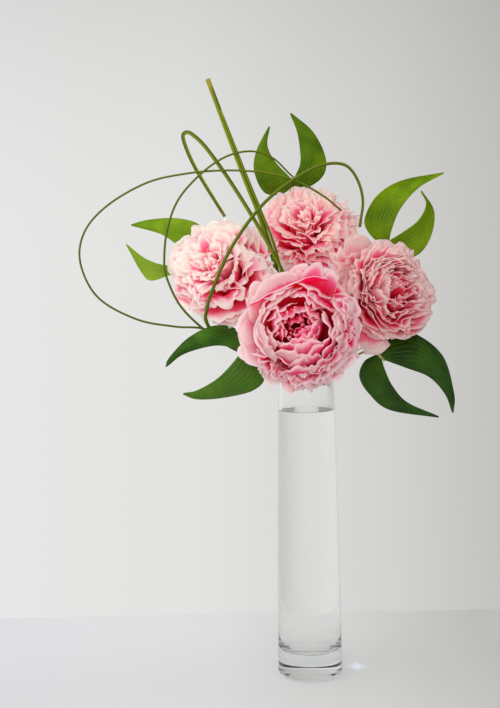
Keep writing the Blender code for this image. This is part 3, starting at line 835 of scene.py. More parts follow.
# Each row gives the count of petals; where their tips lie, in degrees from the axis, and how far out, and
# half their width, both in head radii; the headings that their middle lines begin and end with, in degrees;
# the radius of their cup in head radii, their ruffle in millimetres, its waves, the depth of their notches
# as a share of their length, and the most that they twist, in degrees. By name, a row may also give the
# length of its middle lines' handles, as a share of the way from claw to tip; how sharply petals may fold;
# how far chance may move their tips (loose) and turn their ends (stray), in degrees; the middle and spread
# of a whorl that doesn't go all the way round, in degrees; how much they narrow towards their tips (taper);
# and how far up the scale of their colours they start (pale).
WHORLS = {
    "front": (
        Whorl(6, 90, 0.98, 0.40, 100, 94, 1.1, 2.0, 1.5, 0.12, 6, middle=335, spread=170),
        Whorl(1, 84, 1.07, 0.56, 104, 66, 0.85, 0.8, 1.1, 0.05, 10, middle=194, spread=1),
        Whorl(1, 80, 1.13, 0.36, 96, 92, 1.8, 1.0, 1.6, 0.26, 10, middle=68, spread=1, pale=0.25),
        Whorl(1, 74, 0.98, 0.56, 98, 70, 1.3, 1.2, 1.5, 0.06, 10, middle=130, spread=1, pale=0.15),
        Whorl(9, 92, 1.01, 0.24, 100, 104, 0.8, 3.0, 1.8, 0.22, 20, middle=280, spread=130),
        Whorl(6, 80, 0.98, 0.26, 98, 82, 0.8, 2.8, 1.9, 0.18, 18, middle=275, spread=120),
        Whorl(6, 84, 0.98, 0.28, 98, 76, 0.8, 2.4, 2.0, 0.14, 12, middle=335, spread=120),
        Whorl(6, 73, 0.98, 0.27, 96, 60, 0.8, 2.4, 2.0, 0.14, 12, middle=335, spread=120),
        Whorl(6, 64, 0.98, 0.26, 96, 44, 0.7, 2.4, 2.0, 0.14, 12, middle=335, spread=120),
        Whorl(6, 56, 0.97, 0.25, 96, 28, 0.7, 2.4, 2.0, 0.14, 12, middle=335, spread=120),
        Whorl(6, 48, 0.97, 0.24, 96, 10, 0.6, 2.4, 2.0, 0.14, 12, middle=335, spread=120),
        Whorl(3, 46, 0.98, 0.36, 96, 20, 1.0, 1.8, 1.7, 0.10, 6, middle=195, spread=80),
        Whorl(8, 68, 0.99, 0.17, 92, 50, 0.4, 3.4, 2.0, 0.22, 60, fold=0.4, middle=246, spread=64,
              pale=-0.32),
        Whorl(4, 56, 0.97, 0.26, 94, 30, 0.7, 2.6, 1.9, 0.16, 14, middle=295, spread=60),
        Whorl(1, 42, 0.99, 0.74, 100, -16, 2.2, 1.6, 3.4, 0.08, 10, middle=112, spread=1),
    ),
    "left": (
        Whorl(9, 94, 1.03, 0.38, 100, 122, 1.4, 1.8, 1.4, 0.13, 6, loose=6),
        Whorl(10, 81, 1.03, 0.35, 92, 118, 1.3, 2.0, 1.5, 0.14, 8, loose=10),
        Whorl(10, 68, 1.03, 0.33, 84, 110, 1.2, 2.2, 1.5, 0.15, 10, loose=12),
        Whorl(10, 56, 1.02, 0.30, 74, 102, 1.1, 2.4, 1.6, 0.15, 14, loose=14),
    ),
    "top": (
        Whorl(10, 94, 1.03, 0.35, 100, 120, 1.3, 2.0, 1.5, 0.14, 8, loose=6),
        Whorl(11, 81, 1.03, 0.32, 92, 116, 1.2, 2.2, 1.6, 0.15, 10, loose=10),
        Whorl(11, 68, 1.03, 0.30, 84, 108, 1.0, 2.4, 1.6, 0.16, 12, loose=12),
        Whorl(11, 56, 1.02, 0.28, 74, 98, 0.9, 2.6, 1.7, 0.16, 16, loose=14),
    ),
    "right": (
        Whorl(9, 94, 1.02, 0.40, 104, 106, 1.3, 1.6, 1.5, 0.12, 6),
        Whorl(9, 85, 1.02, 0.37, 101, 98, 1.2, 1.8, 1.7, 0.13, 6),
        Whorl(9, 76, 1.01, 0.34, 98, 86, 1.0, 2.2, 1.9, 0.14, 8),
        Whorl(9, 67, 1.01, 0.32, 94, 72, 0.9, 2.2, 2.0, 0.14, 8, loose=6),
        Whorl(9, 59, 1.00, 0.30, 92, 58, 0.9, 2.2, 2.1, 0.14, 10, loose=6),
        Whorl(9, 51, 0.99, 0.29, 90, 42, 0.8, 2.2, 2.2, 0.14, 10, loose=6),
    ),
}
print("rows of inner petals:", {name: len(rows) for name, rows in WHORLS.items()})

# %% Hearts
HEARTS = {
    "front": (
        Whorl(8, 37, 0.98, 0.34, 94, -36, 0.75, 2.0, 2.4, 0.07, 8, handle=0.45, stray=8),
        Whorl(7, 31, 0.99, 0.34, 93, -44, 0.70, 2.0, 2.4, 0.07, 8, handle=0.41, stray=8, taper=0.1),
        Whorl(7, 25, 1.00, 0.33, 91, -50, 0.64, 2.2, 2.4, 0.08, 10, handle=0.37, stray=8, taper=0.2),
        Whorl(6, 19, 1.01, 0.31, 88, -54, 0.56, 2.2, 2.4, 0.09, 10, handle=0.33, stray=8, taper=0.25),
        Whorl(6, 13, 1.00, 0.26, 82, -54, 0.46, 2.2, 2.4, 0.10, 14, handle=0.29, stray=10, taper=0.3),
        Whorl(7, 15, 0.95, 0.22, 74, -34, 0.45, 2.6, 2.2, 0.14, 24, handle=0.33, loose=8),
        Whorl(7, 9, 0.94, 0.18, 50, -20, 0.35, 2.8, 2.2, 0.18, 36, handle=0.34, fold=0.3, loose=14),
        Whorl(6, 4, 0.92, 0.14, 26, 0, 0.3, 2.8, 2.2, 0.20, 60, fold=0.4, loose=26),
    ),
    "left": (
        Whorl(10, 45, 1.02, 0.28, 60, 92, 1.0, 2.6, 1.6, 0.16, 18, loose=16),
        Whorl(9, 35, 1.01, 0.26, 48, 80, 0.9, 2.6, 1.6, 0.16, 22, loose=16),
        Whorl(8, 25, 1.00, 0.24, 36, 66, 0.8, 2.8, 1.7, 0.17, 28, loose=16),
        Whorl(10, 40, 1.03, 0.13, 60, 62, 0.3, 3.2, 2.2, 0.28, 80, fold=0.5, middle=320, spread=150),
        Whorl(6, 16, 0.99, 0.21, 24, 46, 0.6, 2.8, 1.8, 0.20, 40, fold=0.2, loose=20),
        Whorl(5, 7, 0.97, 0.18, 12, 24, 0.5, 2.8, 1.8, 0.22, 60, fold=0.3, loose=20),
    ),
    "top": (
        Whorl(11, 45, 1.02, 0.26, 60, 88, 0.9, 2.8, 1.7, 0.17, 20, loose=16),
        Whorl(10, 35, 1.01, 0.24, 48, 76, 0.8, 2.8, 1.7, 0.17, 26, loose=16),
        Whorl(8, 25, 1.00, 0.22, 36, 60, 0.7, 3.0, 1.8, 0.18, 34, fold=0.2, loose=16),
        Whorl(7, 16, 0.99, 0.19, 24, 40, 0.6, 3.0, 1.8, 0.20, 44, fold=0.3, loose=20),
        Whorl(5, 7, 0.97, 0.16, 12, 20, 0.5, 3.0, 1.8, 0.22, 60, fold=0.3, loose=20),
    ),
    "right": (
        Whorl(9, 44, 0.98, 0.27, 88, 26, 0.7, 2.2, 2.4, 0.14, 12, loose=6),
        Whorl(4, 37, 0.98, 0.33, 90, 0, 0.8, 2.0, 2.6, 0.10, 6, handle=0.40, middle=100, spread=140),
        Whorl(4, 31, 0.99, 0.33, 90, -16, 0.8, 2.0, 2.6, 0.10, 6, handle=0.38, middle=103, spread=130),
        Whorl(4, 25, 0.99, 0.31, 88, -28, 0.7, 2.0, 2.6, 0.10, 6, handle=0.36, middle=106, spread=120),
        Whorl(3, 19, 0.99, 0.29, 84, -36, 0.6, 2.0, 2.6, 0.10, 6, handle=0.33, middle=110, spread=100),
        Whorl(7, 36, 0.99, 0.24, 82, 26, 0.6, 2.6, 2.4, 0.16, 24, middle=300, spread=190),
        Whorl(7, 28, 1.00, 0.22, 66, 20, 0.5, 2.8, 2.4, 0.18, 30, middle=310, spread=200),
        Whorl(7, 20, 1.00, 0.20, 50, 12, 0.5, 2.8, 2.4, 0.18, 36, middle=325, spread=220),
        Whorl(7, 12, 1.00, 0.18, 34, 8, 0.4, 2.8, 2.4, 0.20, 50, fold=0.3, loose=12),
        Whorl(5, 5, 0.99, 0.16, 16, 0, 0.4, 2.8, 2.4, 0.20, 60, fold=0.3, loose=12),
        Whorl(1, 27, 1.02, 0.30, 94, -30, 0.65, 1.8, 1.8, 0.09, 10, handle=0.38, middle=214, spread=1),
        Whorl(1, 14, 1.04, 0.28, 88, -36, 0.60, 1.6, 1.8, 0.09, 10, handle=0.35, middle=186, spread=1),
    ),
}
print("rows of heart petals:", {name: len(rows) for name, rows in HEARTS.items()})

# %% Skirts
# Frills and broad guards that fill the gaps between a head and its neighbours.
SKIRTS = {
    "front": (),
    "left": (Whorl(6, 98, 1.18, 0.30, 106, 100, 0.8, 3.4, 1.8, 0.20, 16, middle=0, spread=120),
             Whorl(4, 94, 1.16, 0.34, 104, 98, 0.9, 2.4, 1.8, 0.14, 10, middle=305, spread=60)),
    "top": (Whorl(9, 100, 1.24, 0.30, 108, 104, 0.7, 3.6, 1.8, 0.20, 20, middle=280, spread=190),
            Whorl(8, 88, 1.20, 0.25, 104, 90, 0.6, 3.6, 1.8, 0.22, 24, middle=290, spread=170),
            Whorl(6, 92, 1.20, 0.22, 104, 98, 0.6, 3.2, 1.8, 0.24, 24, middle=30, spread=60)),
    "right": (Whorl(4, 92, 1.36, 0.44, 104, 98, 1.3, 2.2, 1.9, 0.14, 8, middle=152, spread=64, pale=0.36),
              Whorl(3, 108, 1.46, 0.44, 112, 96, 1.4, 2.0, 1.8, 0.12, 6, middle=231, spread=52, pale=0.36)),
}

# %% Hem
# Frills at the very bottom of the front head, over the vase's neck.
FRONT_HEM = (Whorl(7, 96, 1.10, 0.24, 104, 104, 0.8, 3.0, 1.8, 0.18, 18, middle=290, spread=76, pale=0.2),)
HEM_SEED = 97
print("rows of skirts:", {name: len(rows) for name, rows in SKIRTS.items()}, "and of hem:", len(FRONT_HEM))

# %% Petals of a whorl
# Noise pushes the petals of a head about, by up to about this far at its skin, and finer noise adds this
# share of that. No petal passes its whorl's reach by more than the margin, in head radii.
DRIFT_GRAIN = 0.036  # per millimetre
DRIFT_FINER = 2.6  # how many times as fine the finer noise is
DRIFT_MM = {"front": 7.0, "left": 13.0, "top": 12.0, "right": 11.0}
DRIFT_FINE = {"front": 0.0, "left": 0.3, "top": 0.3, "right": 0.3}
INNER_CLAW = 0.24  # width of a claw, as a share of its petal's
SKIN_MARGIN = {"front": -0.02, "left": 0.045, "top": 0.045, "right": 0.045}


def petals_of(whorl, offset, rng):
    """The petals of one whorl, spaced evenly and then each shifted a little by chance. A petal that is
    alone in its row stands just where the table says."""
    chance = 0.0 if whorl.count == 1 else 1.0

    def wobble(amount):
        return rng.uniform(-amount, amount) * chance

    for index in range(whorl.count):
        place = (index + 0.5 + wobble(0.28)) / whorl.count
        if whorl.spread == 360:
            around = place * 360 + offset
        else:
            around = whorl.middle + (place - 0.5) * whorl.spread
        yield Petal(around=around, tip=max(2.0, whorl.tip + wobble(0.5) * whorl.loose),
                    reach=whorl.reach * (0.99 + wobble(0.04)),
                    half_width=whorl.half_width * (1 + wobble(0.18)), claw=INNER_CLAW,
                    begin=whorl.begin + wobble(8), end=whorl.end + wobble(whorl.stray),
                    handle=whorl.handle, cup=whorl.cup, ruffle=whorl.ruffle * (1 + wobble(0.3)),
                    waves=whorl.waves, notch=whorl.notch, fold=whorl.fold * wobble(1),
                    twist=wobble(1) * whorl.twist, sway=wobble(1) * whorl.loose,
                    taper=whorl.taper, pale=whorl.pale)


def drift(head, verts, limit):
    """Pushes neighbouring petals the same way, so that a head opens into clefts and clumps. No petal gets
    past this limit, which is a share of the head's egg."""
    seed = Vector(head.centre)
    for vert in verts:
        place = vert.co / MM
        outward = min(place.length / head.radius, 1.1)
        push = noise.noise_vector(place * DRIFT_GRAIN + seed)
        push += noise.noise_vector(place * (DRIFT_GRAIN * DRIFT_FINER) + seed) * DRIFT_FINE[head.name]
        place += push * (DRIFT_MM[head.name] * outward ** 2)
        depth = HEAD_FRONT * head.radius if place.z > 0 else head.radius
        share = sqrt((place.x ** 2 + place.y ** 2) / head.radius ** 2 + (place.z / depth) ** 2)
        vert.co = place * (MM * min(1.0, limit / share))


ROW_TURN = 31  # from one row of petals to the next, in degrees


def grow_whorls(head, whorls, turn, rng, hem=()):
    """One bmesh with every petal of these whorls. A hem has its own stream of chance."""
    bm = petal_bmesh()
    hem_rng = random.Random(HEM_SEED)
    number = 0
    for row, whorl in enumerate([*whorls, *hem]):
        row_rng = rng if row < len(whorls) else hem_rng
        for petal in petals_of(whorl, turn + row * ROW_TURN, row_rng):
            verts = grow_petal(bm, head, number, petal, row_rng)
            drift(head, verts, whorl.reach + SKIN_MARGIN[head.name])
            number += 1
    make_room(head, bm.verts)
    if head.name == "left":
        give_way(ARCH_OVER_LEFT, bm.verts)
    return bm, number


# %% Outer petals
GUARDS = 6
GUARD_GRID = {"columns": 16, "rows": 12}
PETAL_THICK_MM = 0.4
PETAL_SEED = 11
OUTER_GLOW = 0.66  # share of the light that comes through
INNER_GLOW = 0.78
BALL_FLUSH = (0.26, 0.56, 0.80)  # how far up a petal its deep, middle and pale colours go
BOWL_FLUSH = (0.34, 0.70, 0.92)
BOWL_TURN = 15  # degrees from the guard petals
HEART_TURN = 40


def outer_petal(head, index, rng):
    """One broad guard petal, where the CAD model has it."""
    tip = head.reach[index] - 2
    around = head.turn + index * 360 / GUARDS
    return Petal(around=around, tip=tip, reach=1.05, half_width=0.48, claw=0.26, begin=106,
                 end=92 if index % 2 else 78, handle=0.40, cup=1.15, ruffle=2.2, waves=1.4, notch=0.12,
                 fold=0.0, twist=rng.uniform(-6, 6), sway=rng.uniform(-4, 4), taper=0.0, pale=0.0)


for order, head in enumerate(HEADS):
    rng = random.Random(PETAL_SEED + order)
    tones = TONES[head.name]
    outer_tones = tones._replace(deep=tones.middle, middle=tones.pale)
    outer_look = petal_look(f"{head.name}_outer_petal_finish", head, *outer_tones, OUTER_GLOW, BALL_FLUSH)
    flush = BOWL_FLUSH if head.name == "front" else BALL_FLUSH
    inner_look = petal_look(f"{head.name}_inner_petal_finish", head, *tones, INNER_GLOW, flush)
    heart_look = petal_look(f"{head.name}_heart_petal_finish", head, *tones, INNER_GLOW, BALL_FLUSH)
    for index in range(GUARDS):
        bm = petal_bmesh()
        grow_petal(bm, head, 0, outer_petal(head, index, rng), rng, **GUARD_GRID)
        make_room(head, bm.verts)
        guard = [f"peony_{head.name}_guard_petal_{index + 1}"]
        piece_from(f"{head.name}_outer_petal_{index + 1}", bm, outer_look, guard,
                   1, PETAL_THICK_MM)
    hem = FRONT_HEM if head.name == "front" else ()
    whorls = [*SKIRTS[head.name], *WHORLS[head.name]]
    bm, count = grow_whorls(head, whorls, head.turn + BOWL_TURN, rng, hem)
    piece_from(f"{head.name}_inner_petals", bm, inner_look, [f"peony_{head.name}_petal_bowl"],
               1, PETAL_THICK_MM)
    bm, more = grow_whorls(head, HEARTS[head.name], head.turn + HEART_TURN, rng)
    piece_from(f"{head.name}_heart_petals", bm, heart_look, [f"peony_{head.name}_heart"],
               1, PETAL_THICK_MM)
    print(head.name, "has", GUARDS + count + more, "petals")

# %% [markdown]
# ## Receptacles and sepals
# Behind each head a green receptacle widens from the stem, and five leathery sepals clasp the outer petals.
# The receptacle is turned; the sepals are short, thick, strongly cupped petals of the same formula.

# %% Sepal material
def sepal_look(name):
    """Green with fine streaks that fan out, and brown at the tips."""
    material, tree = start(name)
    counted, along, _ = split(flat_place(tree, "petal"))
    cloud = cloudy(object_place(tree), 90.0)
    fan = tree.add("CombineXYZ", inputs={0: counted * 30.0, 1: along * 2.0, 2: 0.0})
    streak = cloudy(fan, 1.0)
    green = blend(fade(cloud, 0.3, 0.7), display(78, 108, 34), display(116, 144, 58))
    colour = blend(fade(along + (streak - 0.5) * 0.3, 0.84, 1.05), green, display(168, 132, 92))
    return finish_material(material, tree, skin(colour, 0.5, 0.5, relief(streak, 0.35, 0.0005)))


receptacle_look = sepal_look("sepal_finish")

# %% Receptacles
SEPALS = 5
SEPAL_TURN = {"front": 56, "left": 20, "top": 20, "right": 20}
SEPAL_GRID = {"columns": 8, "rows": 6}
SEPAL_THICK_MM = 0.9
SEPAL_SEED = 31


def receptacle_bmesh(head):
    """A closed turned cup between a stem and its petals' claws, with a faint lobe for each sepal."""
    back = HEAD_BACK * head.radius
    profile = [(0.0, -back - UNDERSIDE), (3.6, -back - UNDERSIDE), (4.6, -back - 8.6), (6.8, -back - 5.6),
               (9.6, -back - 3.4), (11.5, -back - 1.2), (11.0, -back + 1.2), (6.0, -back + 2.4),
               (0.0, -back + 2.6)]
    bm = turned(profile)
    for vert in bm.verts:
        around = atan2(vert.co.y, vert.co.x)
        vert.co *= 1 + 0.03 * sin(around * SEPALS)
    bm.loops.layers.uv.new("petal")
    make_room(head, bm.verts)
    return bm


def sepal_bmesh(head, rng):
    """The sepals behind one head."""
    bm = petal_bmesh()
    for index in range(SEPALS):
        around = head.turn + SEPAL_TURN[head.name] + index * 360 / SEPALS
        sepal = Petal(around=around, tip=139 + rng.uniform(-5, 5), reach=1.10,
                      half_width=rng.uniform(0.22, 0.32), claw=0.45, begin=150, end=62, handle=0.40,
                      cup=0.55, ruffle=0.6, waves=1.0, notch=0.0, fold=0.0, twist=rng.uniform(-8, 8),
                      sway=rng.uniform(-6, 6), taper=0.75, pale=0.0)
        grow_petal(bm, head, index, sepal, rng, **SEPAL_GRID)
    make_room(head, bm.verts)
    return bm


for order, head in enumerate(HEADS):
    rng = random.Random(SEPAL_SEED + order)
    calyx = [f"peony_{head.name}_calyx"]
    piece_from(f"{head.name}_receptacle", receptacle_bmesh(head), receptacle_look, calyx)
    piece_from(f"{head.name}_sepals", sepal_bmesh(head, rng), receptacle_look, calyx,
               1, SEPAL_THICK_MM)

# %% [markdown]
# ## Hosta leaves
# Each leaf has been split down its midrib into two curved horns that share one stalk. A horn is drawn
# between its outer edge, which was the leaf's margin, and its inner edge, where it was torn. Parallel veins
# run the whole length between the two, sunk into the upper side, and meet at the tip.

# %% Leaf places
# A horn's two edges, from stalk to tip, and how far its middle stands out to the front. A leaf's place
# round the neck, in degrees, the points of its stalk after that, and its two horns.
Horn = namedtuple("Horn", "outer inner crown")
Leaf = namedtuple("Leaf", "name neck petiole horns")
LEAVES = (
    Leaf("lower_right", 350, ((33, -4, 316), (48, 2, 322), (64, 8, 327), (75, 8, 323), (80, 7, 317)),
         (Horn(((74, 9, 327), (84, 14, 338), (108, 14, 345), (138, 6, 322), (147, -8, 285),
                (145.5, -14, 266)),
               ((77, 7, 319), (101, 3, 310), (123, -4, 301), (138, -9, 284), (144, -14, 266)), 4.0),
          Horn(((72, 9, 324), (60, 14, 316), (55, 14, 301), (64, 8, 284), (84, 1, 268), (131, -12, 261)),
               ((77, 7, 319), (80, 4, 308), (87, 0, 292), (101, -5, 276), (131, -12, 262.6)), 4.0))),
    Leaf("upper_right", 55, ((22, 30, 322), (42, 48, 356), (66, 58, 394), (82, 48, 424), (87, 38, 438)),
         (Horn(((85, 42, 432), (70, 43, 446), (65, 43, 462), (78, 44, 485), (103, 43, 500),
                (146, 38, 507.4)),
               ((89, 39, 434), (92, 35, 450), (101, 34, 471), (120, 35, 492), (146, 38, 506)), -4.0),
          Horn(((87, 43, 430), (100, 42, 420), (120, 41, 424), (133, 41, 442), (136, 38, 468),
                (123, 34, 489)),
               ((85, 40, 436), (103, 33, 447), (119, 32, 459), (127, 33, 475), (121.6, 34, 488)), -4.0))),
    Leaf("top", 114, ((-16, 40, 330), (-23, 68, 384), (-25, 88, 440), (-18, 88, 476), (-8, 74, 497),
                      (-3, 62, 506)),
         (Horn(((-6, 67, 499), (-20, 65, 490), (-38, 61, 492), (-48, 57, 514), (-45, 55, 535),
                (-32, 50, 559)),
               ((-5, 65, 502), (-14, 58, 510), (-27, 54, 524), (-34, 52, 540), (-31, 50, 557.6)), 4.0),
          Horn(((-8, 68, 499), (8, 68, 497), (24, 65, 508), (27, 62, 526), (14, 59, 553), (-9, 56, 573)),
               ((-8, 65, 503), (0, 60, 520), (0, 58, 536), (-3, 56, 554), (-9.8, 56, 571.4)), 4.0))),
    Leaf("left", 140, ((-28, 27, 324), (-54, 50, 368), (-82, 60, 408), (-96, 52, 425), (-103, 45, 428)),
         (Horn(((-95, 52, 427), (-97, 50, 446), (-108, 48, 460), (-131, 46, 466), (-158, 41, 464.5),
                (-176, 38, 460)),
               ((-96, 50, 424), (-113, 42, 431), (-129, 38, 439), (-146, 38, 450),
                (-175, 38, 458.6)), 4.0),
          Horn(((-95, 52, 423), (-110, 45, 410), (-134, 42, 408), (-156, 40, 402), (-166, 38, 410),
                (-181, 34, 439)),
               ((-95, 50, 429), (-110, 42, 421), (-136, 37, 417), (-160, 35, 424),
                (-181, 34, 440.6)), -4.0))),
    Leaf("lower_left", 218, ((-28, -21, 316), (-42, -25, 326), (-56, -27, 333), (-67, -27, 333)),
         (Horn(((-59, -27, 337), (-70, -19, 354), (-92, -22, 357), (-116, -28, 346), (-134, -36, 328),
                (-138, -40, 319)),
               ((-59, -27, 330), (-74, -27, 336), (-92, -28, 338), (-120, -34, 331),
                (-136.4, -40, 319.4)), 4.0),
          Horn(((-57, -27, 330), (-42, -18, 306), (-54, -16, 292), (-82, -20, 286), (-108, -30, 286),
                (-122, -34, 291.4)),
               ((-62, -27, 336), (-72, -27, 322), (-88, -28, 306), (-108, -32, 295),
                (-121.4, -34, 292.8)), 4.0))),
)

for leaf in LEAVES:
    tips = [horn.outer[-1] for horn in leaf.horns]
    print(leaf.name, "leaf: stalk from", leaf.neck, "degrees round the neck, tips at", tips)

# %% Leaf material
VEINS = 8


def leaf_look(name, shade, light, vein, through, gloss, second):
    """U runs from the torn edge to the margin and V from the stalk to the tip. The second horn has 2 added
    to its V, and is painted paler by the share second, as painted light."""
    material, tree = start(name)
    across, counted, _ = split(flat_place(tree, "leaf"))
    is_second = fade(counted, 1.4, 1.6)
    along = counted - is_second * 2
    cloud = cloudy(object_place(tree), 38.0, 3.0)
    lane = abs(across.maths("FRACT", across * VEINS) - 0.5) * 2
    line = fade(lane, 0.80, 0.97)
    quilting = 1 - lane ** 2
    # Painted shade and light of the relief: the ground is painted a little darker along the sunken veins and
    # lighter on the raised strips between them.
    ground = blend(fade(cloud + (quilting - 0.5) * 0.12, 0.35, 0.75), shade, light)
    # Painted light: the second horn is painted paler, towards the vein colour.
    ground = blend(is_second * second, ground, vein)
    colour = blend(line * (0.75 - along * 0.25), ground, vein)
    surface = thin_skin(through, colour, 0.40 + cloud * 0.14, gloss, relief(quilting, 0.30, 0.0008))
    return finish_material(material, tree, surface)


# For each leaf: its shade, light and vein colours, the share of light that comes through, its gloss, and
# how much paler its second horn is painted. The greens differ partly as the leaves' own colour and partly as
# painted light and shade: leaves in shade are painted darker, lit ones lighter, and the paler second horn is
# painted light.
LEAF_TONES_AND_PAINTED_LIGHT = {
    "lower_right": (display(12, 42, 0), display(38, 72, 0), display(64, 92, 18), 0.12, 0.24, 0.0),
    "lower_left": (display(28, 64, 2), display(56, 100, 10), display(86, 118, 34), 0.12, 0.22, 0.34),
    "upper_right": (display(68, 100, 0), display(108, 138, 2), display(130, 154, 30), 0.25, 0.12, 0.26),
    "top": (display(58, 90, 0), display(94, 126, 4), display(118, 144, 36), 0.25, 0.14, 0.0),
    "left": (display(84, 120, 4), display(126, 162, 24), display(150, 178, 56), 0.25, 0.16, 0.60),
}
leaf_stalk_look = stem_look("leaf_stalk_finish", display(92, 118, 30), display(136, 158, 60),
                            display(150, 146, 70))

# %% Leaves
LEAF_ALONG = 48
LEAF_ACROSS = 32
LEAF_THICK_MM = 0.45
VEIN_RISE = 0.35  # how far the leaf stands up between two veins
MARGIN_WAVE = 0.8
STALK_RADIUS = 1.45
STALK_ROOM = 1.5  # radius kept free for a stalk where it stands in the neck
STALK_SIDES = 12


def grow_horn(bm, horn, index):
    """One half of a split leaf, with sunken veins and a gently waving margin."""
    outer = smooth_route(horn.outer, LEAF_ALONG)
    inner = smooth_route(horn.inner, LEAF_ALONG)
    grid = bmesh.ops.create_grid(bm, x_segments=LEAF_ACROSS, y_segments=LEAF_ALONG, size=1.0)
    uv = bm.loops.layers.uv["leaf"]
    for vert in grid["verts"]:
        share = (vert.co.x + 1) / 2
        along = (vert.co.y + 1) / 2
        for loop in vert.link_loops:
            loop[uv].uv = (1 - share, along + 2 * index)
        step = round(along * LEAF_ALONG)
        open_width = sin(pi * min(along, 1.0))
        crown = horn.crown * sin(pi * share) * open_width
        lane = abs(((1 - share) * VEINS) % 1 - 0.5) * 2
        crown += VEIN_RISE * (1 - lane ** 2) * open_width
        crown += MARGIN_WAVE * sin(along * 17 + index * 2.1) * (1 - share) ** 2 * open_width
        vert.co = outer[step].lerp(inner[step], share) - Vector((0, crown * MM, 0))


def stalk_section(turn, share):
    """A round stalk with a groove down one side, which gets thinner towards the leaf."""
    radius = STALK_RADIUS * (1 - 0.25 * share)
    groove = 1 - 0.22 * max(0.0, cos((turn - 0.75) * 2 * pi)) ** 3
    return radius * groove * cos(turn * 2 * pi), radius * groove * sin(turn * 2 * pi)


for leaf in LEAVES:
    look = leaf_look(f"{leaf.name}_leaf_finish", *LEAF_TONES_AND_PAINTED_LIGHT[leaf.name])
    bm = bmesh.new()
    bm.loops.layers.uv.new("leaf")
    for index, horn in enumerate(leaf.horns):
        grow_horn(bm, horn, index)
    piece_from(f"{leaf.name}_hosta_leaf", bm, look, [f"leaf_{leaf.name}"], 0, LEAF_THICK_MM)
    bm = strand_bmesh()
    knots = [*neck_knots(leaf.neck, STALK_ROOM), *leaf.petiole]
    sweep(bm, bent_route(knots, SPAN_STEPS), stalk_section, STALK_SIDES)
    piece_from(f"{leaf.name}_leaf_stalk", bm, leaf_stalk_look, [f"leaf_{leaf.name}"])

# %% [markdown]
# ## Grass
# Two blades of grass stand up, one is folded over, and three are bent into loops and an arch. A blade is a
# narrow strap with a keel, finely streaked along its length, with painted light on one half, and cut square
# at its end. It is swept along its route as the stems are, with a width that changes on the way.

# %% Grass places
# Where round the neck a blade stands, in degrees, or None where it rises clear; its route; the room that
# it takes in the neck; and its half width at its start, middle and end.
Blade = namedtuple("Blade", "name neck route room widths")
BLADES = (
    Blade("upright_wide", None,
          ((-10.6, 1, STEM_CUT), (-11, 1, 318), (-19, -1, 362), (-29, -5, 414), (-44.5, -9, 466),
           (-59, -13, 504), (-92, -20, 596)), 1.9, (2.0, 2.4, 2.3)),
    Blade("upright_slim", None,
          ((-7.2, 0, STEM_CUT), (-7.6, 0, 318), (-15, -4.5, 366), (-28.6, -10, 430), (-41.6, -12.6, 466),
           (-56.4, -15.8, 504), (-79.8, -20.2, 566)), 1.2, (1.3, 1.4, 0.8)),
    Blade("folded", None,
          ((-4.4, -1, STEM_CUT), (-4.8, -2, 318), (-9, -16, 370), (-21, -26, 405), (-41, -25, 445),
           (-70, -23, 494), (-94, -21, 529), (-107, -18, 542.6), (-114, -15, 546), (-117.4, -12, 541),
           (-111, -6, 522), (-101, 3, 502.5), (-90, 12, 484), (-79, 25, 466)), 1.2, (1.7, 1.9, 1.6)),
    Blade("big_loop", 188,
          ((-30, -4.6, 314), (-60, -6, 332), (-98, -12, 353), (-129, -20, 357), (-166, -24, 365),
           (-203, -26, 387), (-219, -28, 421), (-214, -28, 451), (-191, -28, 476), (-153, -26, 497),
           (-116, -26, 505), (-79, -27, 507.5), (-42, -28.5, 505), (-11, -27, 497.5), (19, -14, 482),
           (37, -4, 468)), 0.9, (1.1, 1.0, 1.0)),
    Blade("side_loop", 198,
          ((-29, -9.4, 314), (-62, -10, 328), (-92, -12, 346), (-121, -28, 375), (-135, -34, 405),
           (-137, -34, 423), (-133.5, -34, 451), (-122, -34, 480), (-99, -32, 505), (-75, -26, 521),
           (-51, -14, 526.7), (-30, 2, 521.6), (-13, 24, 508), (-4, 40, 502)), 0.9, (1.1, 1.1, 0.8)),
    Blade("front_arch", 207,
          ((-28, -14, 314), (-60, -15, 330), (-88, -15, 346), (-98, -26, 362), (-96.5, -37, 375),
           (-92, -44, 389.5), (-75, -50, 427), (-52, -42, 461), (-30, -34, 483.7), (-3.5, -27, 502),
           (20, -18, 512.4), (41, -10, 512), (53.3, -5, 498), (59, 0, 477), (56, 5, 452)), 1.4,
          (1.8, 1.7, 1.3)),
)

# %% Grass material
def grass_look(name, shade, light, tip):
    """Streaks of a shade and a light, one half painted lighter as painted light, darker towards the base,
    and the colour of the cut tip.
    """
    material, tree = start(name)
    turn, along, _ = split(flat_place(tree, "length"))
    streak = strand_field(tree, 34.0, 5.0)
    patch = strand_field(tree, 1.5, 9.0, 2.0)
    # Painted light: one half of the blade is painted lighter, as the side that the light falls on.
    half = fade(abs(turn - 0.5), 0.20, 0.30)
    colour = blend((half * 0.55 + streak * 0.45 + patch * 0.3) * (0.55 + along * 0.4), shade, light)
    colour = blend(fade(along, 0.97, 1.0), colour, tip)
    return finish_material(material, tree, skin(colour, 0.50, 0.16, relief(streak, 0.5, 0.0003)))


strong_grass_look = grass_look("strong_grass_finish", display(32, 40, 0), display(112, 128, 8),
                               display(132, 118, 40))
fine_grass_look = grass_look("fine_grass_finish", display(42, 48, 2), display(98, 110, 20),
                             display(84, 80, 20))

# %% Blades of grass
BLADE_SIDES = 16
BLADE_STEPS = 8  # points on a blade between two of its route's own points
BLADE_HALF_THICK = 0.55


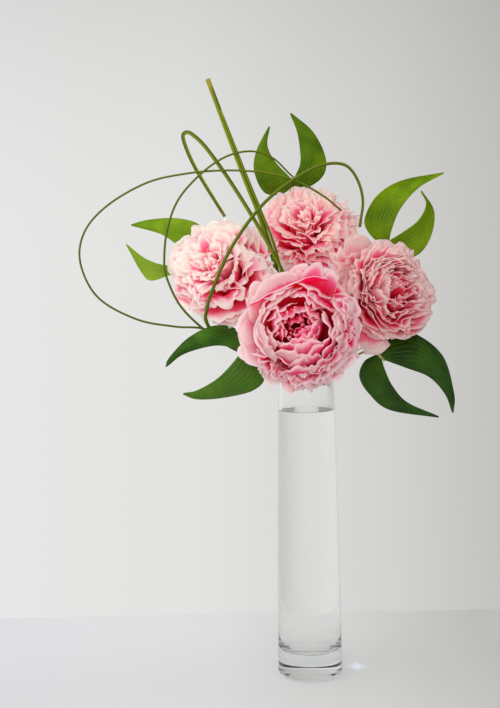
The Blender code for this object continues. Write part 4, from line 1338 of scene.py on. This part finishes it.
def blade_section(widths):
    """A strap with a keel in front and a shallow groove behind. Its half width changes from end to end."""
    first, middle, last = widths
    swell = 4 * middle - first - last

    def section(turn, share):
        angle = turn * 2 * pi
        half_width = first * (1 - share) ** 2 + swell * share * (1 - share) + last * share ** 2
        flat = abs(sin(angle)) ** 0.8 * (1 if sin(angle) > 0 else -1)
        keel = 1 + 0.35 * max(0.0, sin(angle)) ** 4 - 0.30 * max(0.0, -sin(angle)) ** 6
        return half_width * cos(angle), BLADE_HALF_THICK * flat * keel
    return section


for blade in BLADES:
    knots = [*neck_knots(blade.neck, blade.room), *blade.route] if blade.neck else blade.route
    route = smooth_route(knots, BLADE_STEPS * (len(knots) - 1))
    bm = strand_bmesh()
    sweep(bm, route, blade_section(blade.widths), BLADE_SIDES, flat_to_front=True)
    look = fine_grass_look if blade.neck else strong_grass_look
    piece_from(f"{blade.name}_grass_blade", bm, look, [f"grass_{blade.name}"])
    length = sum((end - begin).length for begin, end in zip(route, route[1:]))
    print(blade.name, "blade:", round(length / MM), "mm long")

# %% [markdown]
# ## Floor, light and air
# The arrangement stands on a pale floor in soft studio light. The bright air all round lights it evenly,
# and three large panels add light from the left, from in front and from above. Glass mirrors only the left
# one. The air is a pale grey that gets a little darker to the right and upwards.
# The floor fades into it in front and at the sides, and stops at a line behind the vase, so that no wall
# gets in the way from any side.

# %% Air
world = bpy.data.worlds.new("studio_air")
bpy.context.scene.world = world
world.use_nodes = True
world.node_tree.nodes.clear()
air = Wire(world.node_tree)
BEHIND_VASE = 0.06  # how far aside the air straight behind the vase is
NEAR_SHARE = 0.30  # share of its change from side to side that the air keeps when not seen straight
AIR_LEFT = -0.30  # where the air's colours begin, and how far aside they go on
AIR_WIDTH = 0.65
DARKEN_UP = 2.4  # how fast the air gets darker upwards, and by how much at most
DARKEST = 0.25
aside, _, upward = split(air.add("TexCoord", output=0))
seen_straight = air.add("LightPath", output=0)
aside = seen_straight * aside + (1 - seen_straight) * (BEHIND_VASE + (aside - BEHIND_VASE) * NEAR_SHARE)
air_colour = colour_ramp((aside - AIR_LEFT) / AIR_WIDTH, (0.0, display(233, 234, 233)),
                         (0.38, display(227, 227, 225)), (0.65, display(211, 210, 208)),
                         (0.80, display(195, 194, 191)), (1.0, display(184, 183, 180)))
height = upward.maths("MAXIMUM", upward, 0.0)
darker = height.maths("MINIMUM", height * height * DARKEN_UP, DARKEST)
air_colour = blend(darker, air_colour, (0.0, 0.0, 0.0, 1.0))
background = air.add("Background", inputs={"Color": air_colour, "Strength": 1.0})
air.add("OutputWorld", inputs={"Surface": background})
print("air with", len(world.node_tree.nodes), "nodes")

# %% Floor
FLOOR_RADIUS = 1.7
FLOOR_DROP = 0.0003  # below the vase's foot
FLOOR_EDGE = 0.19  # how far behind the vase the floor still shows
# A painted caustic: a small bright bluish spot painted on the floor beside the thick base, where the glass
# gathers light.
PAINTED_CAUSTIC_ASIDE = 0.049  # where the thick base gathers a little light beside itself
PAINTED_CAUSTIC_BACK = 0.012


def floor_look():
    """Matt and pale grey, with painted shade that darkens it to the right and in front, a painted caustic by
    the base, and gone at its edges.
    """
    material, tree = start("pale_floor_finish")
    spot = object_place(tree)
    aside, depth, _ = split(spot)
    distance = vector_maths("LENGTH", spot, output=1)
    here = fade(distance, 1.6, 0.7) * fade(depth, FLOOR_EDGE + 0.006, FLOOR_EDGE)
    grain = cloudy(spot, 6.0, 3.0)
    # Painted shade: the floor is painted darker towards the right, where the light falls off and the
    # bouquet's shadow lies.
    colour = colour_ramp((aside + grain * 0.03 + 0.36) / 0.58, (0.0, display(210, 210, 215)),
                         (0.50, display(217, 218, 219)), (0.74, display(212, 212, 211)),
                         (1.0, display(190, 190, 190)))
    # Painted shade: darker towards the front.
    colour = blend(fade(depth, 0.16, -0.10) * 0.20, colour, display(150, 150, 150))
    # The painted caustic beside the base.
    painted_caustic = fade(abs(aside - PAINTED_CAUSTIC_ASIDE) + abs(depth - PAINTED_CAUSTIC_BACK) * 0.8, 0.016, 0.0)
    colour = blend(painted_caustic * 0.8, colour, display(232, 238, 252))
    surface = tree.add("BsdfDiffuse", inputs={"Color": colour})
    open_air = tree.add("BsdfTransparent")
    return finish_material(material, tree, tree.add("MixShader", inputs={0: here, 1: open_air, 2: surface}))


bm = bmesh.new()
bmesh.ops.create_circle(bm, cap_ends=True, segments=TURN_STEPS, radius=FLOOR_RADIUS,
                        matrix=Matrix.Translation((0, 0, -FLOOR_DROP)))
floor_mesh = bpy.data.meshes.new("floor")
bm.to_mesh(floor_mesh)
bm.free()
floor_mesh.materials.append(floor_look())
floor = bpy.data.objects.new("floor", floor_mesh)
bpy.context.scene.collection.objects.link(floor)
floor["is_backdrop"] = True

# %% Light
LIT_PLACE = Vector((0, 0, 0.38))


def soft_panel(name, place, size, watts, colour, mirrored):
    """A square area light that looks at the flowers, and that glass mirrors or not."""
    data = bpy.data.lights.new(name, "AREA")
    data.size = size
    data.energy = watts
    data.color = colour
    panel = bpy.data.objects.new(name, data)
    panel.location = place
    panel.visible_camera = False
    panel.visible_glossy = mirrored
    panel.visible_transmission = False
    panel.rotation_euler = (LIT_PLACE - Vector(place)).to_track_quat("-Z", "Y").to_euler()
    bpy.context.scene.collection.objects.link(panel)


soft_panel("window_light", (-2.1, -1.0, 1.3), 2.2, 34.0, (1.0, 0.99, 0.98), mirrored=True)
soft_panel("room_light", (0.2, -2.6, 0.9), 2.4, 60.0, (0.99, 0.99, 1.0), mirrored=False)
soft_panel("ceiling_light", (-0.3, -0.5, 2.5), 2.0, 20.0, (1.0, 1.0, 1.0), mirrored=False)
bpy.context.scene.view_settings.view_transform = "Standard"
bpy.context.scene.cycles.diffuse_bounces = 16
bpy.context.scene.cycles.transmission_bounces = 24
bpy.context.scene.cycles.max_bounces = 32
print("lights:", [item.name for item in bpy.data.objects if item.type == "LIGHT"])

# %% [markdown]
# ## Sizes
# Both boxes, the CAD model's and the dressed model's, are printed.

# %% Sizes
dressed_box = [list(corner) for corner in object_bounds()]
for label, box in (("CAD", cad_box), ("dressed", dressed_box)):
    print(label, [round((high - low) / MM, 1) for low, high in zip(*box)])
